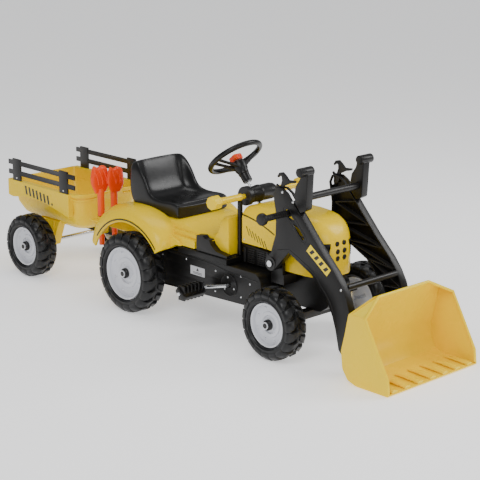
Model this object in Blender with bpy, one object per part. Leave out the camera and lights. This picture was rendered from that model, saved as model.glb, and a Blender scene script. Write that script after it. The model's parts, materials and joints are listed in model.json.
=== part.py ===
"""Ride-on pedal tractor with a front loader and a hitched trailer.

Metres, +Z up, +X towards the loader bucket, +Y the rider's left.
The origin is on the floor, under the middle of the whole object.
"""
import math

import bpy
import bmesh
from mathutils import Matrix, Vector

# ---------------------------------------------------------------- dimensions
GAP = 0.0003                      # play between pieces that touch
MERGE = 0.00002                   # points closer than this are one point
WALL = 0.004                      # moulded plastic wall
SIDES = {"left": 1, "right": -1}

# wheels: tyre radius, rim radius, width, outer face to the middle plane
REAR_X = -0.170
REAR_R = 0.127
REAR_RIM = 0.084
REAR_OUTER = 0.236
REAR_WIDTH = 0.080
FRONT_X = 0.455
FRONT_OUTER = 0.226
TRAILER_X = -0.705
TRAILER_OUTER = 0.228
SMALL_R = 0.106
SMALL_RIM = 0.066
SMALL_WIDTH = 0.074
AXLE_R = 0.006
BORE_R = AXLE_R + GAP
NUT_R = 0.011
NUT_LENGTH = 0.007
WHEEL_SIDES = 24

# crank, pedals and chain
CRANK_X = 0.212
CRANK_Z = 0.155
CRANK_LENGTH = 0.088
CRANK_ARM_Y = 0.150
CRANK_ANGLE = math.radians(194)   # the right arm points back and a little down
PEDAL_INNER = 0.166
PEDAL_OUTER = 0.258
PEDAL_CHORD = 0.046
PEDAL_THICK = 0.018
PEDAL_TILT = math.radians(38)
CHAIN_Y = -0.068
CHAINRING_R = 0.036
SPROCKET_R = 0.022
CHAIN_THICK = 0.005

# main frame and side cases
FRAME_HALF = 0.045
CASE_INNER = 0.054
CASE_OUTER = 0.135
CASE_BOTTOM = 0.091
CASE_TOP = 0.213
BOARD_TOP = 0.232
BOARD_OUTER = 0.141

# rear body, seat and hood
DECK_TOP = 0.300
DECK_HALF = 0.112
FENDER_OUTER = 0.196
SEAT_HALF = 0.1075
HOOD_HALF = 0.084
HOOD_REAR = 0.212
POST_X = 0.197

# steering column: wheel centre, lower end, both on the middle plane
WHEEL_CENTRE = Vector((0.095, 0, 0.505))
COLUMN_FOOT = Vector((0.431, 0, 0.112))
RIM_RING_R = 0.083
RIM_TUBE_R = 0.0085
SHAFT_R = 0.005
DROP_ARM = 0.045
KINGPIN_Y = 0.135
KNUCKLE_ARM = 0.060

# dash bar and drum
BAR_X = 0.197
BAR_Z = 0.411
BAR_R = 0.0075
DRUM_R = 0.025

# loader
ARM_INNER = 0.103
ARM_OUTER = 0.128
ARM_PIVOT = Vector((0.378, 0, 0.255))
BUCKET_PIVOT = Vector((0.700, 0, 0.034))
LATCH_PIVOT = Vector((0.404, 0, 0.468))
LATCH_Y = 0.1165
LATCH_THICK = 0.007
HEAD_TUBE = Vector((0.509, 0, 0.546))
SLOT_TOP = Vector((0.440, 0, 0.424))
SLOT_FOOT = Vector((0.508, 0, 0.354))
LEVER_PIN = Vector((0.447, 0, 0.417))
BUCKET_HALF = 0.190

# trailer
HITCH_X = -0.430
HITCH_Z = 0.140
TUB_TOP = 0.300
TUB_BOTTOM = 0.172
TUB_HALF = 0.142
TUB_REAR = -0.889
TUB_FRONT = -0.500
LEG_Y = 0.112

# material: colour, roughness, metallic
FINISHES = {
    "yellow": ((0.93, 0.56, 0.01, 1), 0.35, 0.0),
    "black": ((0.02, 0.02, 0.021, 1), 0.45, 0.0),
    "white": ((0.82, 0.83, 0.85, 1), 0.40, 0.0),
    "orange": ((0.93, 0.12, 0.02, 1), 0.40, 0.0),
    "steel": ((0.62, 0.63, 0.65, 1), 0.28, 1.0),
}


# ---------------------------------------------------------------- helpers
def clear_scene():
    for item in list(bpy.data.objects):
        bpy.data.objects.remove(item)


def finish_material(name):
    if name in bpy.data.materials:
        return bpy.data.materials[name]
    colour, roughness, metallic = FINISHES[name]
    material = bpy.data.materials.new(name)
    material.use_nodes = True
    shader = material.node_tree.nodes["Principled BSDF"]
    shader.inputs["Base Color"].default_value = colour
    shader.inputs["Roughness"].default_value = roughness
    shader.inputs["Metallic"].default_value = metallic
    return material


def make(name, verts, faces, finish):
    """One closed solid from points and faces, with its normals outwards."""
    mesh = bpy.data.meshes.new(name)
    mesh.from_pydata([tuple(v) for v in verts], [], faces)
    body = bmesh.new()
    body.from_mesh(mesh)
    bmesh.ops.recalc_face_normals(body, faces=body.faces)
    if body.calc_volume(signed=True) < 0:
        bmesh.ops.reverse_faces(body, faces=body.faces)
    body.to_mesh(mesh)
    body.free()
    item = bpy.data.objects.new(name, mesh)
    bpy.context.scene.collection.objects.link(item)
    mesh.materials.append(finish_material(finish))
    return item


def prism(name, outline, low, high, finish="black", along="Y"):
    """Extrude an outline: XZ points along Y, YZ points along X, or XY points along Z."""
    place = {
        "X": lambda a, b, c: (c, a, b),
        "Y": lambda a, b, c: (a, c, b),
        "Z": lambda a, b, c: (a, b, c),
    }[along]
    count = len(outline)
    verts = [place(a, b, low) for a, b in outline] + [place(a, b, high) for a, b in outline]
    faces = [tuple(range(count)), tuple(range(2 * count - 1, count - 1, -1))]
    for i in range(count):
        j = (i + 1) % count
        faces.append((i, j, count + j, count + i))
    return make(name, verts, faces, finish)


def box(name, low, high, finish="black"):
    outline = [(low[0], low[2]), (high[0], low[2]), (high[0], high[2]), (low[0], high[2])]
    return prism(name, outline, low[1], high[1], finish)


def rounded(outline, radius, steps=3):
    """Replace each corner of an outline by an arc-like curve of the given reach."""
    points = []
    count = len(outline)
    for i, corner in enumerate(outline):
        reach = radius[i] if isinstance(radius, (list, tuple)) else radius
        here = Vector(corner)
        before = Vector(outline[i - 1]) - here
        after = Vector(outline[(i + 1) % count]) - here
        if reach <= 0:
            points.append(tuple(here))
            continue
        start = here + before.normalized() * min(reach, before.length * 0.49)
        end = here + after.normalized() * min(reach, after.length * 0.49)
        for k in range(steps + 1):
            t = k / steps
            curve = start * (1 - t) ** 2 + here * 2 * t * (1 - t) + end * t ** 2
            points.append(tuple(curve))
    return points


def inset(outline, distance):
    """Move every side of a closed outline inwards by a distance."""
    area = 0
    count = len(outline)
    for i in range(count):
        a = outline[i]
        b = outline[(i + 1) % count]
        area += a[0] * b[1] - b[0] * a[1]
    turn = 1 if area > 0 else -1
    points = []
    for i in range(count):
        here = Vector(outline[i])
        before = (here - Vector(outline[i - 1])).normalized()
        after = (Vector(outline[(i + 1) % count]) - here).normalized()
        normal_a = Vector((-before.y, before.x)) * turn
        normal_b = Vector((-after.y, after.x)) * turn
        middle = (normal_a + normal_b).normalized()
        points.append(tuple(here + middle * distance / max(0.35, middle.dot(normal_a))))
    return points


def circle(centre, radius, sides=20, start=0.0, end=2 * math.pi):
    """Points on a circle, or on an arc that has its end point too."""
    whole = abs(end - start - 2 * math.pi) < 1e-6
    last = sides if whole else sides + 1
    points = []
    for i in range(last):
        angle = start + (end - start) * i / sides
        points.append((centre[0] + radius * math.cos(angle), centre[1] + radius * math.sin(angle)))
    return points


def turned(name, profile, sides, finish):
    """Turn a profile of (radius, along) points about the local Y axis.

    A profile whose ends have radius 0 closes at poles; any other profile is a closed ring.
    """
    poles = profile[0][0] == 0
    verts = []
    rows = []
    for radius, along in profile:
        if radius == 0:
            rows.append([len(verts)] * sides)
            verts.append((0, along, 0))
            continue
        rows.append([len(verts) + i for i in range(sides)])
        for i in range(sides):
            angle = 2 * math.pi * i / sides
            verts.append((radius * math.cos(angle), along, radius * math.sin(angle)))
    pairs = list(zip(rows, rows[1:]))
    if not poles:
        pairs.append((rows[-1], rows[0]))
    faces = []
    for first, second in pairs:
        for i in range(sides):
            j = (i + 1) % sides
            ring = [first[i], first[j], second[j], second[i]]
            faces.append(tuple(dict.fromkeys(ring)))
    return make(name, verts, faces, finish)


def rod(name, start, end, radius, finish="steel", sides=12):
    """A round bar between two points."""
    start = Vector(start)
    end = Vector(end)
    item = turned(name, [(0, 0), (radius, 0), (radius, (end - start).length),
                         (0, (end - start).length)], sides, finish)
    turn = Vector((0, 1, 0)).rotation_difference(end - start)
    item.data.transform(Matrix.Translation(start) @ turn.to_matrix().to_4x4())
    return item


def bent_bar(name, route, radius, finish="steel", sides=10):
    """A round bar along a route, mitred at its bends."""
    points = [Vector(p) for p in route]
    verts = []
    normal = Vector((0, 0, 1))
    for i, point in enumerate(points):
        before = (point - points[max(i - 1, 0)]).normalized()
        after = (points[min(i + 1, len(points) - 1)] - point).normalized()
        tangent = (before + after).normalized()
        normal = (normal - tangent * normal.dot(tangent)).normalized()
        across = tangent.cross(normal)
        for k in range(sides):
            angle = 2 * math.pi * k / sides
            verts.append(point + (normal * math.cos(angle) + across * math.sin(angle)) * radius)
    faces = []
    for i in range(len(points) - 1):
        for k in range(sides):
            m = (k + 1) % sides
            a = i * sides
            b = a + sides
            faces.append((a + k, a + m, b + m, b + k))
    faces.append(tuple(range(sides)))
    faces.append(tuple(range(len(verts) - sides, len(verts))))
    return make(name, verts, faces, finish)


def loft(name, sections, finish):
    """Join rings of the same number of points into one closed solid."""
    count = len(sections[0])
    verts = [point for ring in sections for point in ring]
    faces = [tuple(range(count)), tuple(range(len(verts) - count, len(verts)))]
    for s in range(len(sections) - 1):
        for i in range(count):
            j = (i + 1) % count
            a = s * count
            b = a + count
            faces.append((a + i, a + j, b + j, b + i))
    return make(name, verts, faces, finish)


def combine(item, tools, operation):
    """Apply Booleans to an item and remove the tool solids."""
    for tool in tools:
        step = item.modifiers.new(operation, "BOOLEAN")
        step.operation = operation
        step.solver = "EXACT"
        step.object = tool
    graph = bpy.context.evaluated_depsgraph_get()
    mesh = bpy.data.meshes.new_from_object(item.evaluated_get(graph))
    item.modifiers.clear()
    item.data = mesh
    body = bmesh.new()
    body.from_mesh(mesh)
    bmesh.ops.remove_doubles(body, verts=body.verts, dist=MERGE)
    body.to_mesh(mesh)
    body.free()
    for tool in tools:
        bpy.data.objects.remove(tool)
    return item


def cut(item, *tools):
    return combine(item, tools, "DIFFERENCE")


def fuse(item, *tools):
    return combine(item, tools, "UNION")


def across(name, centre, radius, low, high, finish="black", sides=12):
    """A round bar along Y at a centre given by its X and Z."""
    return rod(name, (centre.x, low, centre.z), (centre.x, high, centre.z), radius, finish, sides)


def spread(side, near, far):
    """The low and high Y of a piece that lies between two distances on one side."""
    return min(side * near, side * far), max(side * near, side * far)


def move_origin(item, point):
    """Put an object's origin on its joint without moving its shape."""
    item.data.transform(Matrix.Translation(-Vector(point)))
    item.location = point


# ---------------------------------------------------------------- wheels
def tyre(name, radius, rim, width, centre):
    """A hollow moulded tyre, open inwards, where the rim's band closes it."""
    half = width / 2
    inside = half - WALL
    profile = [
        (rim + GAP, half - 0.006), (rim + 0.006, half), (radius * 0.91, half),
        (radius, half * 0.60), (radius, -half * 0.60), (radius * 0.91, -half),
        (rim + 0.006, -half), (rim + GAP, -half + 0.006),
        (rim + GAP, -inside + 0.006), (rim + 0.007, -inside), (radius * 0.91 - 0.002, -inside),
        (radius - WALL, -half * 0.60 + 0.002), (radius - WALL, half * 0.60 - 0.002),
        (radius * 0.91 - 0.002, inside), (rim + 0.007, inside), (rim + GAP, inside - 0.006),
    ]
    item = turned(name, profile, WHEEL_SIDES, "black")
    item.location = centre


def rim(name, radius, width, side, centre):
    """A dished moulded rim: a hub with a bore, a web and a deep outer band."""
    half = width / 2 - 0.007
    face = side * half
    web = side * half * 0.62
    profile = [
        (BORE_R, web + side * 0.010), (0.022, web + side * 0.010), (0.024, web),
        (radius - 0.012, web), (radius - 0.006, face), (radius, face),
        (radius, -face), (radius - 0.006, -face), (radius - 0.010, web - side * 0.006),
        (0.018, web - side * 0.006), (BORE_R, web - side * 0.018),
    ]
    item = turned(name, profile, WHEEL_SIDES, "white")
    item.location = centre


def wheel(prefix, x, radius, rim_radius, width, outer, side_name):
    side = SIDES[side_name]
    centre = (x, side * (outer - width / 2), radius)
    tyre(f"{prefix}_tyre_{side_name}", radius, rim_radius, width, centre)
    rim(f"{prefix}_rim_{side_name}", rim_radius, width, side, centre)


def nut_axle(name, x, z, outer, hub_face):
    """A plain axle with a round push nut outside each hub."""
    end = outer - hub_face + GAP
    profile = [
        (0, -end - NUT_LENGTH), (NUT_R, -end - NUT_LENGTH), (NUT_R, -end), (AXLE_R, -end),
        (AXLE_R, end), (NUT_R, end), (NUT_R, end + NUT_LENGTH), (0, end + NUT_LENGTH),
    ]
    item = turned(name, profile, 16, "steel")
    item.location = (x, 0, z)


def hub_depth(width):
    """How far a rim's hub face lies inside the tyre's outer face."""
    half = width / 2
    return half - ((half - 0.007) * 0.62 + 0.010)


def all_wheels():
    for side_name in SIDES:
        wheel("rear", REAR_X, REAR_R, REAR_RIM, REAR_WIDTH, REAR_OUTER, side_name)
        wheel("front", FRONT_X, SMALL_R, SMALL_RIM, SMALL_WIDTH, FRONT_OUTER, side_name)
        wheel("trailer", TRAILER_X, SMALL_R, SMALL_RIM, SMALL_WIDTH, TRAILER_OUTER, side_name)
    nut_axle("rear_axle", REAR_X, REAR_R, REAR_OUTER, hub_depth(REAR_WIDTH))
    nut_axle("trailer_axle", TRAILER_X, SMALL_R, TRAILER_OUTER, hub_depth(SMALL_WIDTH))


# ---------------------------------------------------------------- frame
def main_frame():
    outline = [
        (-0.305, 0.145), (-0.220, 0.104), (-0.080, 0.104), (0.340, 0.104), (0.400, 0.1175),
        (0.500, 0.1175), (0.532, 0.140), (0.532, 0.205), (0.500, 0.222), (0.350, 0.222),
        (0.330, 0.203), (-0.270, 0.203), (-0.305, 0.185),
    ]
    frame = prism("main_frame", rounded(outline, 0.010, 2), -FRAME_HALF, FRAME_HALF)
    beam = box("beam", (0.352, -0.0985, 0.188), (0.404, 0.0985, 0.218))
    parts = [beam]
    ear = [(0.356, 0.190), (0.400, 0.190), (0.398, 0.255)]
    ear += circle((ARM_PIVOT.x, ARM_PIVOT.z), 0.020, 8, 0, math.pi) + [(0.358, 0.255)]
    for side_name, side in SIDES.items():
        low, high = spread(side, 0.0885, 0.0985)
        parts.append(prism(f"ear_{side_name}", ear, low, high))
    fuse(frame, *parts)
    half_column = 0.011
    column_slot = box("column_slot", (0.300, -half_column, 0.09), (0.450, half_column, 0.24))
    cut(frame,
        across("rear_bore", Vector((REAR_X, 0, REAR_R)), AXLE_R + 0.001, -0.1, 0.1),
        across("crank_bore", Vector((CRANK_X, 0, CRANK_Z)), AXLE_R + 0.001, -0.1, 0.1),
        across("pivot_bore", ARM_PIVOT, BORE_R, -0.12, 0.12),
        column_slot)


def side_case(side_name):
    """A moulded side cover, open towards the frame; the chain runs in the right one."""
    side = SIDES[side_name]
    outline = rounded([
        (-0.215, CASE_BOTTOM), (-0.110, CASE_BOTTOM), (0.295, CASE_BOTTOM + 0.016),
        (0.335, 0.135), (0.350, 0.185), (0.330, CASE_TOP), (-0.100, CASE_TOP), (-0.215, 0.178),
    ], 0.018, 3)
    low, high = spread(side, CASE_INNER, CASE_OUTER)
    case = prism(f"side_case_{side_name}", outline, low, high)
    low, high = spread(side, CASE_INNER - 0.01, CASE_OUTER - WALL)
    cavity = prism("cavity", inset(outline, WALL), low, high)
    low, high = spread(side, CASE_INNER - 0.02, CASE_OUTER + 0.02)
    cut(case, cavity,
        across("crank_hole", Vector((CRANK_X, 0, CRANK_Z)), AXLE_R + 0.0015, low, high),
        across("axle_hole", Vector((REAR_X, 0, REAR_R)), AXLE_R + 0.0015, low, high))


def foot_board(side_name):
    side = SIDES[side_name]
    low, high = spread(side, CASE_INNER, BOARD_OUTER)
    outline = [
        (-0.012, CASE_TOP + GAP), (0.205, CASE_TOP + GAP), (0.205, BOARD_TOP),
        (-0.012, BOARD_TOP),
    ]
    prism(f"foot_board_{side_name}", outline, low, high)


def engine_block():
    outline = rounded([(0.208, 0.2135), (0.334, 0.2135), (0.345, 0.2240), (0.345, 0.264),
                       (0.208, 0.272)], 0.004, 2)
    block = prism("engine_block", outline, -0.076, 0.076)
    tunnel = box("tunnel", (0.262, -0.012, 0.19), (0.360, 0.012, 0.29))
    cut(block, tunnel)


def front_axle_beam():
    beam = box("front_axle_beam", (0.441, -0.121, 0.094), (0.469, 0.121, 0.117), "black")
    forks = []
    for side_name, side in SIDES.items():
        low, high = spread(side, 0.112, 0.148)
        forks.append(box("top", (0.442, low, 0.137), (0.468, high, 0.143)))
        forks.append(box("foot", (0.442, low, 0.069), (0.468, high, 0.075)))
        low, high = spread(side, 0.112, 0.120)
        forks.append(box("web", (0.442, low, 0.069), (0.468, high, 0.143)))
    fuse(beam, *forks)


def knuckle(side_name):
    """A kingpin post with the stub axle outside it and the steering arm behind it."""
    side = SIDES[side_name]
    hub = FRONT_OUTER - hub_depth(SMALL_WIDTH) + GAP
    end = side * (hub + NUT_LENGTH)
    item = rod(f"knuckle_{side_name}", (FRONT_X, side * KINGPIN_Y, 0.0765),
               (FRONT_X, side * KINGPIN_Y, 0.1355), 0.0095, "steel", 12)
    stub = rod("stub", (FRONT_X, side * KINGPIN_Y, SMALL_R),
               (FRONT_X, end - side * 0.001, SMALL_R), AXLE_R)
    nut = rod("nut", (FRONT_X, side * hub, SMALL_R), (FRONT_X, end, SMALL_R), NUT_R)
    low, high = spread(side, KINGPIN_Y - 0.005, KINGPIN_Y + 0.005)
    arm_x = FRONT_X - KNUCKLE_ARM
    arm = box("arm", (arm_x, low, 0.080), (FRONT_X, high, 0.090), "steel")
    eye = rod("eye", (arm_x, side * KINGPIN_Y, 0.0795), (arm_x, side * KINGPIN_Y, 0.0905), 0.008)
    fuse(item, stub, nut, arm, eye)
    move_origin(item, (FRONT_X, side * KINGPIN_Y, SMALL_R))


def tie_rod():
    reach = KINGPIN_Y - 0.012
    x = FRONT_X - KNUCKLE_ARM
    rod("tie_rod", (x, -reach, 0.080), (x, reach, 0.080), 0.0045, "steel", 12)


# ---------------------------------------------------------------- drive
def crank():
    points = []
    for side, angle in ((-1, CRANK_ANGLE), (1, CRANK_ANGLE + math.pi)):
        tip_x = CRANK_X + CRANK_LENGTH * math.cos(angle)
        tip_z = CRANK_Z + CRANK_LENGTH * math.sin(angle)
        points.append(((tip_x, side * (PEDAL_OUTER + 0.004), tip_z),
                       (tip_x, side * CRANK_ARM_Y, tip_z),
                       (CRANK_X, side * CRANK_ARM_Y, CRANK_Z)))
    right, left = points
    route = list(right) + list(reversed(left))
    item = bent_bar("crank_rod", route, AXLE_R - 0.0005, "steel", 12)
    move_origin(item, (CRANK_X, 0, CRANK_Z))


def pedal(side_name):
    side = SIDES[side_name]
    angle = CRANK_ANGLE if side < 0 else CRANK_ANGLE + math.pi
    x = CRANK_X + CRANK_LENGTH * math.cos(angle)
    z = CRANK_Z + CRANK_LENGTH * math.sin(angle)
    half = PEDAL_CHORD / 2
    low, high = spread(side, PEDAL_INNER, PEDAL_OUTER)
    outline = rounded([(-half, low), (half, low), (half, high), (-half, high)], 0.012, 4)
    item = prism(f"pedal_{side_name}", outline, -PEDAL_THICK / 2, PEDAL_THICK / 2, "black", "Z")
    cut(item, rod("spindle_bore", (0, -0.4, 0), (0, 0.4, 0), BORE_R, "steel", 14))
    item.location = (x, 0, z)
    item.rotation_euler = (0, PEDAL_TILT, 0)


def toothed(name, x, z, radius, thickness, teeth):
    outline = []
    for i in range(teeth * 2):
        angle = math.pi * i / teeth
        reach = radius if i % 2 == 0 else radius - 0.003
        outline.append((reach * math.cos(angle), reach * math.sin(angle)))
    item = prism(name, outline, -thickness / 2, thickness / 2, "steel")
    cut(item, rod("bore", (0, -0.1, 0), (0, 0.1, 0), BORE_R, "steel", 14))
    item.location = (x, CHAIN_Y, z)


def chain_loop():
    """The chain as one closed band round both sprockets."""
    front = Vector((CRANK_X, CRANK_Z))
    rear = Vector((REAR_X, REAR_R))
    line = rear - front
    lean = math.acos((CHAINRING_R - SPROCKET_R) / line.length)
    heading = math.atan2(line.y, line.x)
    rings = []
    for extra in (0.0008, 0.0008 + CHAIN_THICK):
        big = circle(front, CHAINRING_R + extra, 14, heading + lean, heading - lean + 2 * math.pi)
        small = circle(rear, SPROCKET_R + extra, 10, heading - lean, heading + lean)
        rings.append(big + small)
    low = CHAIN_Y - 0.004
    high = CHAIN_Y + 0.004
    chain = prism("drive_chain", rings[1], low, high, "steel")
    cut(chain, prism("inside", rings[0], low - 0.01, high + 0.01))


# ---------------------------------------------------------------- rear body, seat, hood
def body_profile():
    """Side outline of the moulded body from the rear wall to the dash."""
    return [
        (-0.392, 0.216), (-0.352, 0.286), (-0.330, DECK_TOP), (-0.020, DECK_TOP),
        (0.030, 0.286), (0.110, 0.286), (0.135, 0.300), (0.158, 0.352), (0.178, 0.352),
        (0.186, 0.340), (0.186, 0.2330), (-0.030, 0.2330), (-0.040, 0.216),
    ]


def fender_profile(foot_angle, foot):
    """Side outline of a fender: the wheel arch, then the front foot, then the top."""
    arch = circle((-0.195, 0.112), 0.167, 9, math.radians(152), math.radians(foot_angle))
    top = [(-0.030, 0.240), (-0.070, 0.290), (-0.120, 0.314), (-0.215, 0.322),
           (-0.300, 0.312), (-0.345, 0.292), (-0.372, 0.255)]
    return arch + foot + top


def body_shell():
    outline = rounded(body_profile(), 0.010, 2)
    shell = prism("body_shell", outline, -DECK_HALF, DECK_HALF, "yellow")
    cavity_outline = [
        (-0.386, 0.200), (-0.349, 0.281), (-0.328, DECK_TOP - WALL), (-0.022, DECK_TOP - WALL),
        (0.030, 0.282), (0.112, 0.282), (0.138, 0.298), (0.160, 0.347), (0.176, 0.347),
        (0.181, 0.338), (0.181, 0.200),
    ]
    cavity = prism("cavity", cavity_outline, -DECK_HALF + WALL, DECK_HALF - WALL)
    cut(shell, cavity)
    fenders = []
    for side_name, side in SIDES.items():
        low, high = spread(side, DECK_HALF - WALL, FENDER_OUTER)
        inner_foot = fender_profile(40, [(-0.022, 0.2145)])
        fenders.append(prism(f"fender_{side_name}", inner_foot, low, high, "yellow"))
        low, high = spread(side, CASE_OUTER + 0.001, FENDER_OUTER)
        outer_foot = fender_profile(22, [(-0.030, 0.180), (-0.012, 0.194)])
        fenders.append(prism(f"skirt_{side_name}", outer_foot, low, high, "yellow"))
    fuse(shell, *fenders)
    fuse(shell, tool_rack())
    notch_low = 0.2335
    cut(shell, box("post_notch", (0.1835, -0.2, notch_low), (0.21, 0.2, 0.30)))


def seat():
    outline = rounded([
        (-0.268, DECK_TOP + GAP), (-0.052, DECK_TOP + GAP), (-0.046, 0.338), (-0.066, 0.350),
        (-0.205, 0.352), (-0.252, 0.452), (-0.280, 0.452), (-0.290, 0.350),
    ], 0.010, 3)
    shell = prism("seat", outline, -SEAT_HALF, SEAT_HALF, "black")
    dish = rounded([(-0.030, 0.338), (-0.185, 0.328), (-0.218, 0.345), (-0.262, 0.440),
                    (-0.262, 0.52), (-0.030, 0.52)], 0.016, 3)
    pocket = prism("pocket", dish, -SEAT_HALF + 0.016, SEAT_HALF - 0.016)
    cut(shell, pocket)


def arch_ring(x, half, low, top, corner, steps=4):
    """A cross-section of the hood: flat sides, and a top with round shoulders."""
    ring = [(x, -half, low), (x, -half, top - corner)]
    for i in range(1, steps + 1):
        angle = math.pi - 0.5 * math.pi * i / steps
        ring.append((x, -half + corner + corner * math.cos(angle),
                     top - corner + corner * math.sin(angle)))
    for i in range(steps + 1):
        angle = 0.5 * math.pi - 0.5 * math.pi * i / steps
        ring.append((x, half - corner + corner * math.cos(angle),
                     top - corner + corner * math.sin(angle)))
    ring.append((x, half, low))
    return ring


def hood():
    # distance along X, half width, lower edge, top, shoulder radius
    stations = [
        (HOOD_REAR, HOOD_HALF, 0.276, 0.385, 0.034), (0.300, HOOD_HALF, 0.276, 0.393, 0.036),
        (0.352, HOOD_HALF, 0.274, 0.397, 0.038), (0.356, HOOD_HALF, 0.2255, 0.397, 0.038),
        (0.420, 0.083, 0.2255, 0.398, 0.040), (0.470, 0.080, 0.2255, 0.392, 0.044),
        (0.505, 0.074, 0.2255, 0.376, 0.046), (0.526, 0.066, 0.2255, 0.350, 0.046),
        (0.537, 0.056, 0.2255, 0.315, 0.040),
    ]
    outer = loft("hood", [arch_ring(*s) for s in stations], "yellow")
    inner = []
    for index, (x, half, low, top, corner) in enumerate(stations):
        shift = 0.02 if index == 0 else WALL if index == len(stations) - 1 else 0
        inner.append(arch_ring(x - shift, half - WALL, low - 0.03, top - WALL, corner - WALL / 2))
    cavity = loft("cavity", inner, "yellow")
    cut(outer, cavity)


def dash_post(side_name):
    low, high = spread(SIDES[side_name], 0.070, 0.083)
    box(f"dash_post_{side_name}", (POST_X - 0.0065, low, BOARD_TOP + GAP), (POST_X + 0.0065, high, 0.399))


def dash_drum():
    half = 0.060
    profile = [
        (BAR_R + GAP, -half), (DRUM_R + 0.004, -half), (DRUM_R + 0.004, -half + 0.018),
        (DRUM_R - 0.003, -half + 0.024), (DRUM_R, half - 0.012), (DRUM_R - 0.004, half),
        (BAR_R + GAP, half),
    ]
    drum = turned("dash_drum", profile, 18, "black")
    drum.data.transform(Matrix.Translation((BAR_X, 0, BAR_Z)))
    shaft = rod("passage", WHEEL_CENTRE, COLUMN_FOOT, SHAFT_R + 0.001, "steel", 12)
    cut(drum, shaft)


def dash_bar():
    thick = 0.0105
    knob = 0.0215
    half = []
    for along, radius in ((0.196, 0), (0.196, knob - 0.003), (0.192, knob), (0.168, knob),
                          (0.162, knob - 0.004), (0.162, thick), (0.074, thick), (0.070, BAR_R)):
        half.append((radius, along))
    profile = [(r, -y) for r, y in half] + list(reversed(half))
    bar = turned("dash_bar", profile, 12, "yellow")
    bar.location = (BAR_X, 0, BAR_Z)


def tool_rack():
    """A ledge behind the body with two holes that the toy tools stand in."""
    ledge = prism("tool_rack", rounded([(-0.373, -0.150), (-0.373, -0.035), (-0.435, -0.035),
                                        (-0.435, -0.150)], [0, 0, 0.010, 0.010], 3),
                  0.236, 0.246, "yellow", "Z")
    holes = [rod("hole", (x, y, 0.2), (x, y, 0.3), 0.0098) for x, y in TOOL_PLACES.values()]
    return cut(ledge, *holes)


TOOL_PLACES = {"rake": (-0.418, -0.116), "shovel": (-0.410, -0.068)}


def tool(name, half_width, low, high, thickness, lean):
    """A toy tool standing on its end: a straight shaft with a flat head."""
    x, y = TOOL_PLACES[name]
    shaft = rod(f"toy_{name}", (x, y, 0.150), (x, y, low + 0.02), 0.0092, "orange", 14)
    collar = rod("collar", (x, y, 0.2475), (x, y, low + 0.012), 0.0118, "orange", 14)
    outline = rounded([(y - 0.014, low), (y + 0.014, low), (y + half_width, low + 0.026),
                       (y + half_width * 0.96, high - 0.018), (y + half_width * 0.3, high),
                       (y - half_width * 0.8, high), (y - half_width, low + 0.026)], 0.012, 3)
    head = prism("head", outline, x + lean - thickness / 2, x + lean + thickness / 2, "orange", "X")
    fuse(shaft, collar, head)


# ---------------------------------------------------------------- steering
def column_place():
    """Local -Z runs down the column from the middle of the wheel's rim."""
    down = (COLUMN_FOOT - WHEEL_CENTRE).normalized()
    turn = Vector((0, 0, -1)).rotation_difference(down)
    return Matrix.Translation(WHEEL_CENTRE) @ turn.to_matrix().to_4x4()


def ring_solid(name, radius, tube, sides=28, around=6):
    profile = []
    for k in range(around):
        angle = 2 * math.pi * k / around
        profile.append((radius + tube * math.cos(angle), tube * math.sin(angle)))
    item = turned(name, profile, sides, "black")
    item.data.transform(Matrix.Rotation(math.pi / 2, 4, "X"))
    return item


def steering_wheel():
    rim_ring = ring_solid("steering_wheel", RIM_RING_R, RIM_TUBE_R)
    hub = rod("hub", (0, 0, -0.018), (0, 0, -0.046), 0.022, "black", 14)
    collar = rod("collar", (0, 0, -0.040), (0, 0, -0.088), 0.0165, "black", 14)
    spokes = []
    for angle in (math.radians(90), math.radians(-90), math.radians(180)):
        start = Vector((math.cos(angle) * 0.012, math.sin(angle) * 0.012, -0.032))
        end = Vector((math.cos(angle) * RIM_RING_R, math.sin(angle) * RIM_RING_R, 0))
        spokes.append(rod("spoke", start, end, 0.0068, "black", 6))
    fuse(rim_ring, hub, collar, *spokes)
    rim_ring.data.transform(column_place())
    move_origin(rim_ring, WHEEL_CENTRE)


def steering_shaft():
    down = (COLUMN_FOOT - WHEEL_CENTRE).normalized()
    back = Vector((down.z, 0, -down.x))
    start = WHEEL_CENTRE + down * (0.088 + GAP)
    shaft = rod("steering_shaft", start, COLUMN_FOOT, SHAFT_R, "steel", 14)
    tip = COLUMN_FOOT + back * (DROP_ARM - 0.014)
    arm = rod("arm", COLUMN_FOOT - down * 0.004, tip - down * 0.004, 0.004, "steel", 10)
    fuse(shaft, arm)


def horn_button():
    item = prism("horn_button", rounded([(-0.017, -0.017), (0.017, -0.017), (0.017, 0.017),
                                         (-0.017, 0.017)], 0.006, 3), -0.014, 0.004, "orange", "Z")
    item.data.transform(column_place())


# ---------------------------------------------------------------- loader
def arm_outline():
    ear = circle((ARM_PIVOT.x, ARM_PIVOT.z), 0.022, 8, math.radians(150), math.radians(300))
    foot = circle((BUCKET_PIVOT.x, BUCKET_PIVOT.z), 0.017, 8, math.radians(215),
                  math.radians(395))
    rear = [(0.388, 0.462), (0.400, 0.403), (0.398, 0.344), (0.380, 0.290)]
    under = [(0.451, 0.302), (0.541, 0.257), (0.574, 0.222), (0.605, 0.190), (0.624, 0.153),
             (0.636, 0.120), (0.650, 0.060)]
    front = [(0.696, 0.110), (0.690, 0.170), (0.676, 0.213), (0.656, 0.248), (0.630, 0.280),
             (0.572, 0.337), (0.493, 0.424)]
    top = [(0.470, 0.446), (0.446, 0.474), (0.424, 0.486), (0.398, 0.484)]
    return rear + ear + under + foot + front + top


def lug_hole(centre, radius, side, sides=12):
    low, high = spread(side, 0.08, 0.15)
    return across("hole", centre, radius, low, high, "black", sides)


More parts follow.
